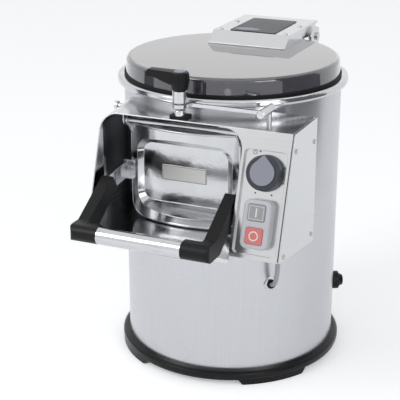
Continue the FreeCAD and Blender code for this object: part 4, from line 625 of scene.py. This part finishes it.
class PEELER_OT_clamp_ribs(bpy.types.Operator):
    """Mould grip ribs round the clamp's hub"""

    bl_idname = "peeler.clamp_ribs"
    bl_label = "Clamp ribs"

    def execute(self, context):
        sizes = context.scene.peeler_sizes
        bm = bmesh.new()
        radius = sizes.rib_radius
        profile = [(0.0, 0.0130), (radius * 0.6, 0.0127), (radius, 0.0115), (radius, 0.0015),
                   (radius * 0.6, 0.0003), (0.0, 0.0)]
        for index in range(sizes.rib_count):
            turn = 2.0 * math.pi * (index + 0.5) / sizes.rib_count
            if math.cos(turn) < LEVER_SIDE_COSINE:
                continue
            spot = Vector((HUB_X + HUB_RING * math.cos(turn), HUB_Y + HUB_RING * math.sin(turn), HUB_RIB_Z))
            turn_profile(bm, profile, 12, Matrix.Translation(spot))
        make_piece("clamp_hub_ribs", bm, "black", "clamp")
        return {"FINISHED"}


class PEELER_OT_cable_nut(bpy.types.Operator):
    """Screw a bright ring nut round the cable's entry in the drum"""

    bl_idname = "peeler.cable_nut"
    bl_label = "Cable nut"

    def execute(self, context):
        bm = bmesh.new()
        profile = [(0.0071, 0.0), (0.0108, 0.0), (0.0108, 0.0022), (0.0098, 0.0030), (0.0078, 0.0030),
                   (0.0071, 0.0024)]
        direction = Vector((math.sin(CABLE_ANGLE), -math.cos(CABLE_ANGLE), 0.0))
        place = Matrix.Translation(direction * (DRUM_R + 0.0001) + Vector((0.0, 0.0, CABLE_ENTRY_Z)))
        turn_profile(bm, profile, 6, place @ direction.to_track_quat("Z", "Y").to_matrix().to_4x4())
        make_piece("cable_ring_nut", bm, "turned", "root")
        return {"FINISHED"}


class PEELER_OT_stage(bpy.types.Operator):
    """Set up the pale floor, the soft lamps, the white room and the camera"""

    bl_idname = "peeler.stage"
    bl_label = "Stage"

    def execute(self, context):
        scene = context.scene
        scene.view_settings.view_transform = "Standard"
        bm = bmesh.new()
        bmesh.ops.create_grid(bm, x_segments=1, y_segments=1, size=6.0)
        mesh = bpy.data.meshes.new("studio_floor")
        bm.to_mesh(mesh)
        bm.free()
        floor = bpy.data.objects.new("studio_floor", mesh)
        scene.collection.objects.link(floor)
        mesh.materials.append(floor_finish())
        white_room(scene)
        add_lamp(scene, "key_softbox", (-1.5, -1.9, 2.1), (0.0, 0.0, 0.30), 1.3, 24.0)
        add_lamp(scene, "fill_softbox", (2.1, -1.3, 1.3), (0.0, 0.0, 0.25), 1.0, 9.0)
        add_flag("right_flag", (1.10, 0.25, 0.75), 78.0, 1.1, 1.5, 0.16)
        add_flag("left_flag", (-1.15, -0.35, 0.55), -100.0, 0.35, 1.1, 0.10)
        add_flag("front_flag", (-0.35, -2.6, 0.20), -8.0, 0.30, 0.40, 0.05)
        add_camera(scene)
        return {"FINISHED"}


def floor_finish():
    """White card under the object; it keeps the soft contact shadow."""
    material, fresh = new_material("studio_white_card")
    if not fresh:
        return material
    tree = material.node_tree
    place = add_node(tree, "ShaderNodeTexCoord")
    fleck = add_node(tree, "ShaderNodeTexNoise", {"Scale": 3.0, "Detail": 2.0},
                     {"Vector": place.outputs["Object"]})
    tint = add_node(tree, "ShaderNodeMix", {"data_type": "RGBA", 6: (0.93, 0.93, 0.93, 1.0),
                                            7: (0.95, 0.95, 0.95, 1.0)}, {0: fleck.outputs["Fac"]})
    card = add_node(tree, "ShaderNodeBsdfPrincipled", {"Roughness": 0.9, "Specular IOR Level": 0.1},
                    {"Base Color": tint.outputs[2]})
    glow = add_node(tree, "ShaderNodeEmission", {"Color": (1.0, 1.0, 1.0, 1.0)},
                    {"Strength": seen_directly(tree, 0.38)})
    both = add_node(tree, "ShaderNodeAddShader", None,
                    {0: card.outputs["BSDF"], 1: glow.outputs["Emission"]})
    add_node(tree, "ShaderNodeOutputMaterial", None, {"Surface": both.outputs["Shader"]})
    return material


def seen_directly(tree, amount):
    """The amount for rays from the camera, gloss and glass, and nothing for the rest."""
    path = add_node(tree, "ShaderNodeLightPath")
    seen = add_node(tree, "ShaderNodeMath", {"operation": "MAXIMUM"},
                    {0: path.outputs["Is Camera Ray"], 1: path.outputs["Is Glossy Ray"]})
    shown = add_node(tree, "ShaderNodeMath", {"operation": "MAXIMUM"},
                     {0: seen.outputs["Value"], 1: path.outputs["Is Transmission Ray"]})
    scaled = add_node(tree, "ShaderNodeMath", {"operation": "MULTIPLY", 1: amount},
                      {0: shown.outputs["Value"]})
    return scaled.outputs["Value"]


def white_room(scene):
    """World that lights at a plain level and shows white to the camera, gloss and glass."""
    world = bpy.data.worlds.new("white_room")
    scene.world = world
    world.use_nodes = True
    tree = world.node_tree
    tree.nodes.clear()
    light = add_node(tree, "ShaderNodeBackground", {"Color": (0.93, 0.96, 1.0, 1.0), "Strength": 0.55})
    white = add_node(tree, "ShaderNodeBackground", {"Color": (1.0, 1.0, 1.0, 1.0), "Strength": 1.0})
    both = add_node(tree, "ShaderNodeMixShader", None,
                    {0: seen_directly(tree, 1.0), 1: light.outputs["Background"],
                     2: white.outputs["Background"]})
    add_node(tree, "ShaderNodeOutputWorld", None, {"Surface": both.outputs["Shader"]})


def add_flag(name, place, heading, width, height, grey):
    """Stand a dark card that only polished metal sees; it draws the upright bands on the steel."""
    bm = bmesh.new()
    bmesh.ops.create_grid(bm, x_segments=1, y_segments=1, size=0.5)
    turn = (Matrix.Translation(place) @ Matrix.Rotation(math.radians(heading), 4, "Z")
            @ Matrix.Rotation(math.radians(90.0), 4, "X") @ Matrix.Diagonal((width, height, 1.0, 1.0)))
    bmesh.ops.transform(bm, matrix=turn, verts=bm.verts)
    mesh = bpy.data.meshes.new(name)
    bm.to_mesh(mesh)
    bm.free()
    material = new_material(name + "_card")[0]
    glow = add_node(material.node_tree, "ShaderNodeEmission", {"Color": (grey, grey, grey * 1.05, 1.0)})
    add_node(material.node_tree, "ShaderNodeOutputMaterial", None, {"Surface": glow.outputs["Emission"]})
    mesh.materials.append(material)
    card = bpy.data.objects.new(name, mesh)
    bpy.context.scene.collection.objects.link(card)
    card.visible_camera = False
    card.visible_diffuse = False
    card.visible_shadow = False
    card.visible_transmission = False


def add_lamp(scene, name, place, target, size, power):
    """Add one square soft lamp that faces a point."""
    data = bpy.data.lights.new(name, "AREA")
    data.size = size
    data.energy = power
    lamp = bpy.data.objects.new(name, data)
    scene.collection.objects.link(lamp)
    lamp.location = place
    lamp.rotation_euler = (Vector(target) - Vector(place)).to_track_quat("-Z", "Y").to_euler()


def add_camera(scene):
    """Camera at the photograph's place, pitched and without a shift, which other views would keep."""
    data = bpy.data.cameras.new("photo_camera")
    data.sensor_width = 36.0
    data.lens = CAMERA_LENS
    camera = bpy.data.objects.new("photo_camera", data)
    scene.collection.objects.link(camera)
    sine, cosine = math.sin(CAMERA_HEADING), math.cos(CAMERA_HEADING)
    camera.location = (CAMERA_DISTANCE * sine, DRUM_AXIS_Y - CAMERA_DISTANCE * cosine, CAMERA_HEIGHT)
    aim = Vector((-sine, cosine, 0.0))
    side = Vector((cosine, sine, 0.0))
    view = aim - side * CAMERA_AIM_LEFT + Vector((0.0, 0.0, CAMERA_AIM_DOWN))
    camera.rotation_euler = view.to_track_quat("-Z", "Y").to_euler()
    data.clip_start = 0.05
    data.clip_end = 30.0
    scene.camera = camera


class PEELER_PT_panel(bpy.types.Panel):
    """Buttons that build the peeler's finish, piece by piece"""

    bl_idname = "PEELER_PT_panel"
    bl_label = "Potato peeler"
    bl_space_type = "VIEW_3D"
    bl_region_type = "UI"
    bl_category = "Peeler"

    def draw(self, context):
        for group in (context.scene.peeler_sizes, context.scene.peeler_colours):
            for name in group.__annotations__:
                self.layout.prop(group, name)
        for step in STEPS:
            self.layout.operator(step.bl_idname)


STEPS = (PEELER_OT_stage, PEELER_OT_cable, PEELER_OT_finishes, PEELER_OT_dial_marks, PEELER_OT_switch_marks,
         PEELER_OT_screws, PEELER_OT_door_rim, PEELER_OT_badges, PEELER_OT_clamp_ribs, PEELER_OT_cable_nut)
CLASSES = (PeelerSizes, PeelerColours, *STEPS, PEELER_PT_panel)


def register():
    for entry in CLASSES:
        bpy.utils.register_class(entry)
    bpy.types.Scene.peeler_sizes = PointerProperty(type=PeelerSizes)
    bpy.types.Scene.peeler_colours = PointerProperty(type=PeelerColours)


def unregister():
    del bpy.types.Scene.peeler_colours
    del bpy.types.Scene.peeler_sizes
    for entry in reversed(CLASSES):
        bpy.utils.unregister_class(entry)


def main():
    """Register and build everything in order."""
    register()
    bpy.ops.peeler.stage()
    bpy.ops.peeler.cable()
    bpy.ops.peeler.finishes()
    bpy.ops.peeler.dial_marks()
    bpy.ops.peeler.switch_marks()
    bpy.ops.peeler.screws()
    bpy.ops.peeler.door_rim()
    bpy.ops.peeler.badges()
    bpy.ops.peeler.clamp_ribs()
    bpy.ops.peeler.cable_nut()


if __name__ == "__main__":
    main()
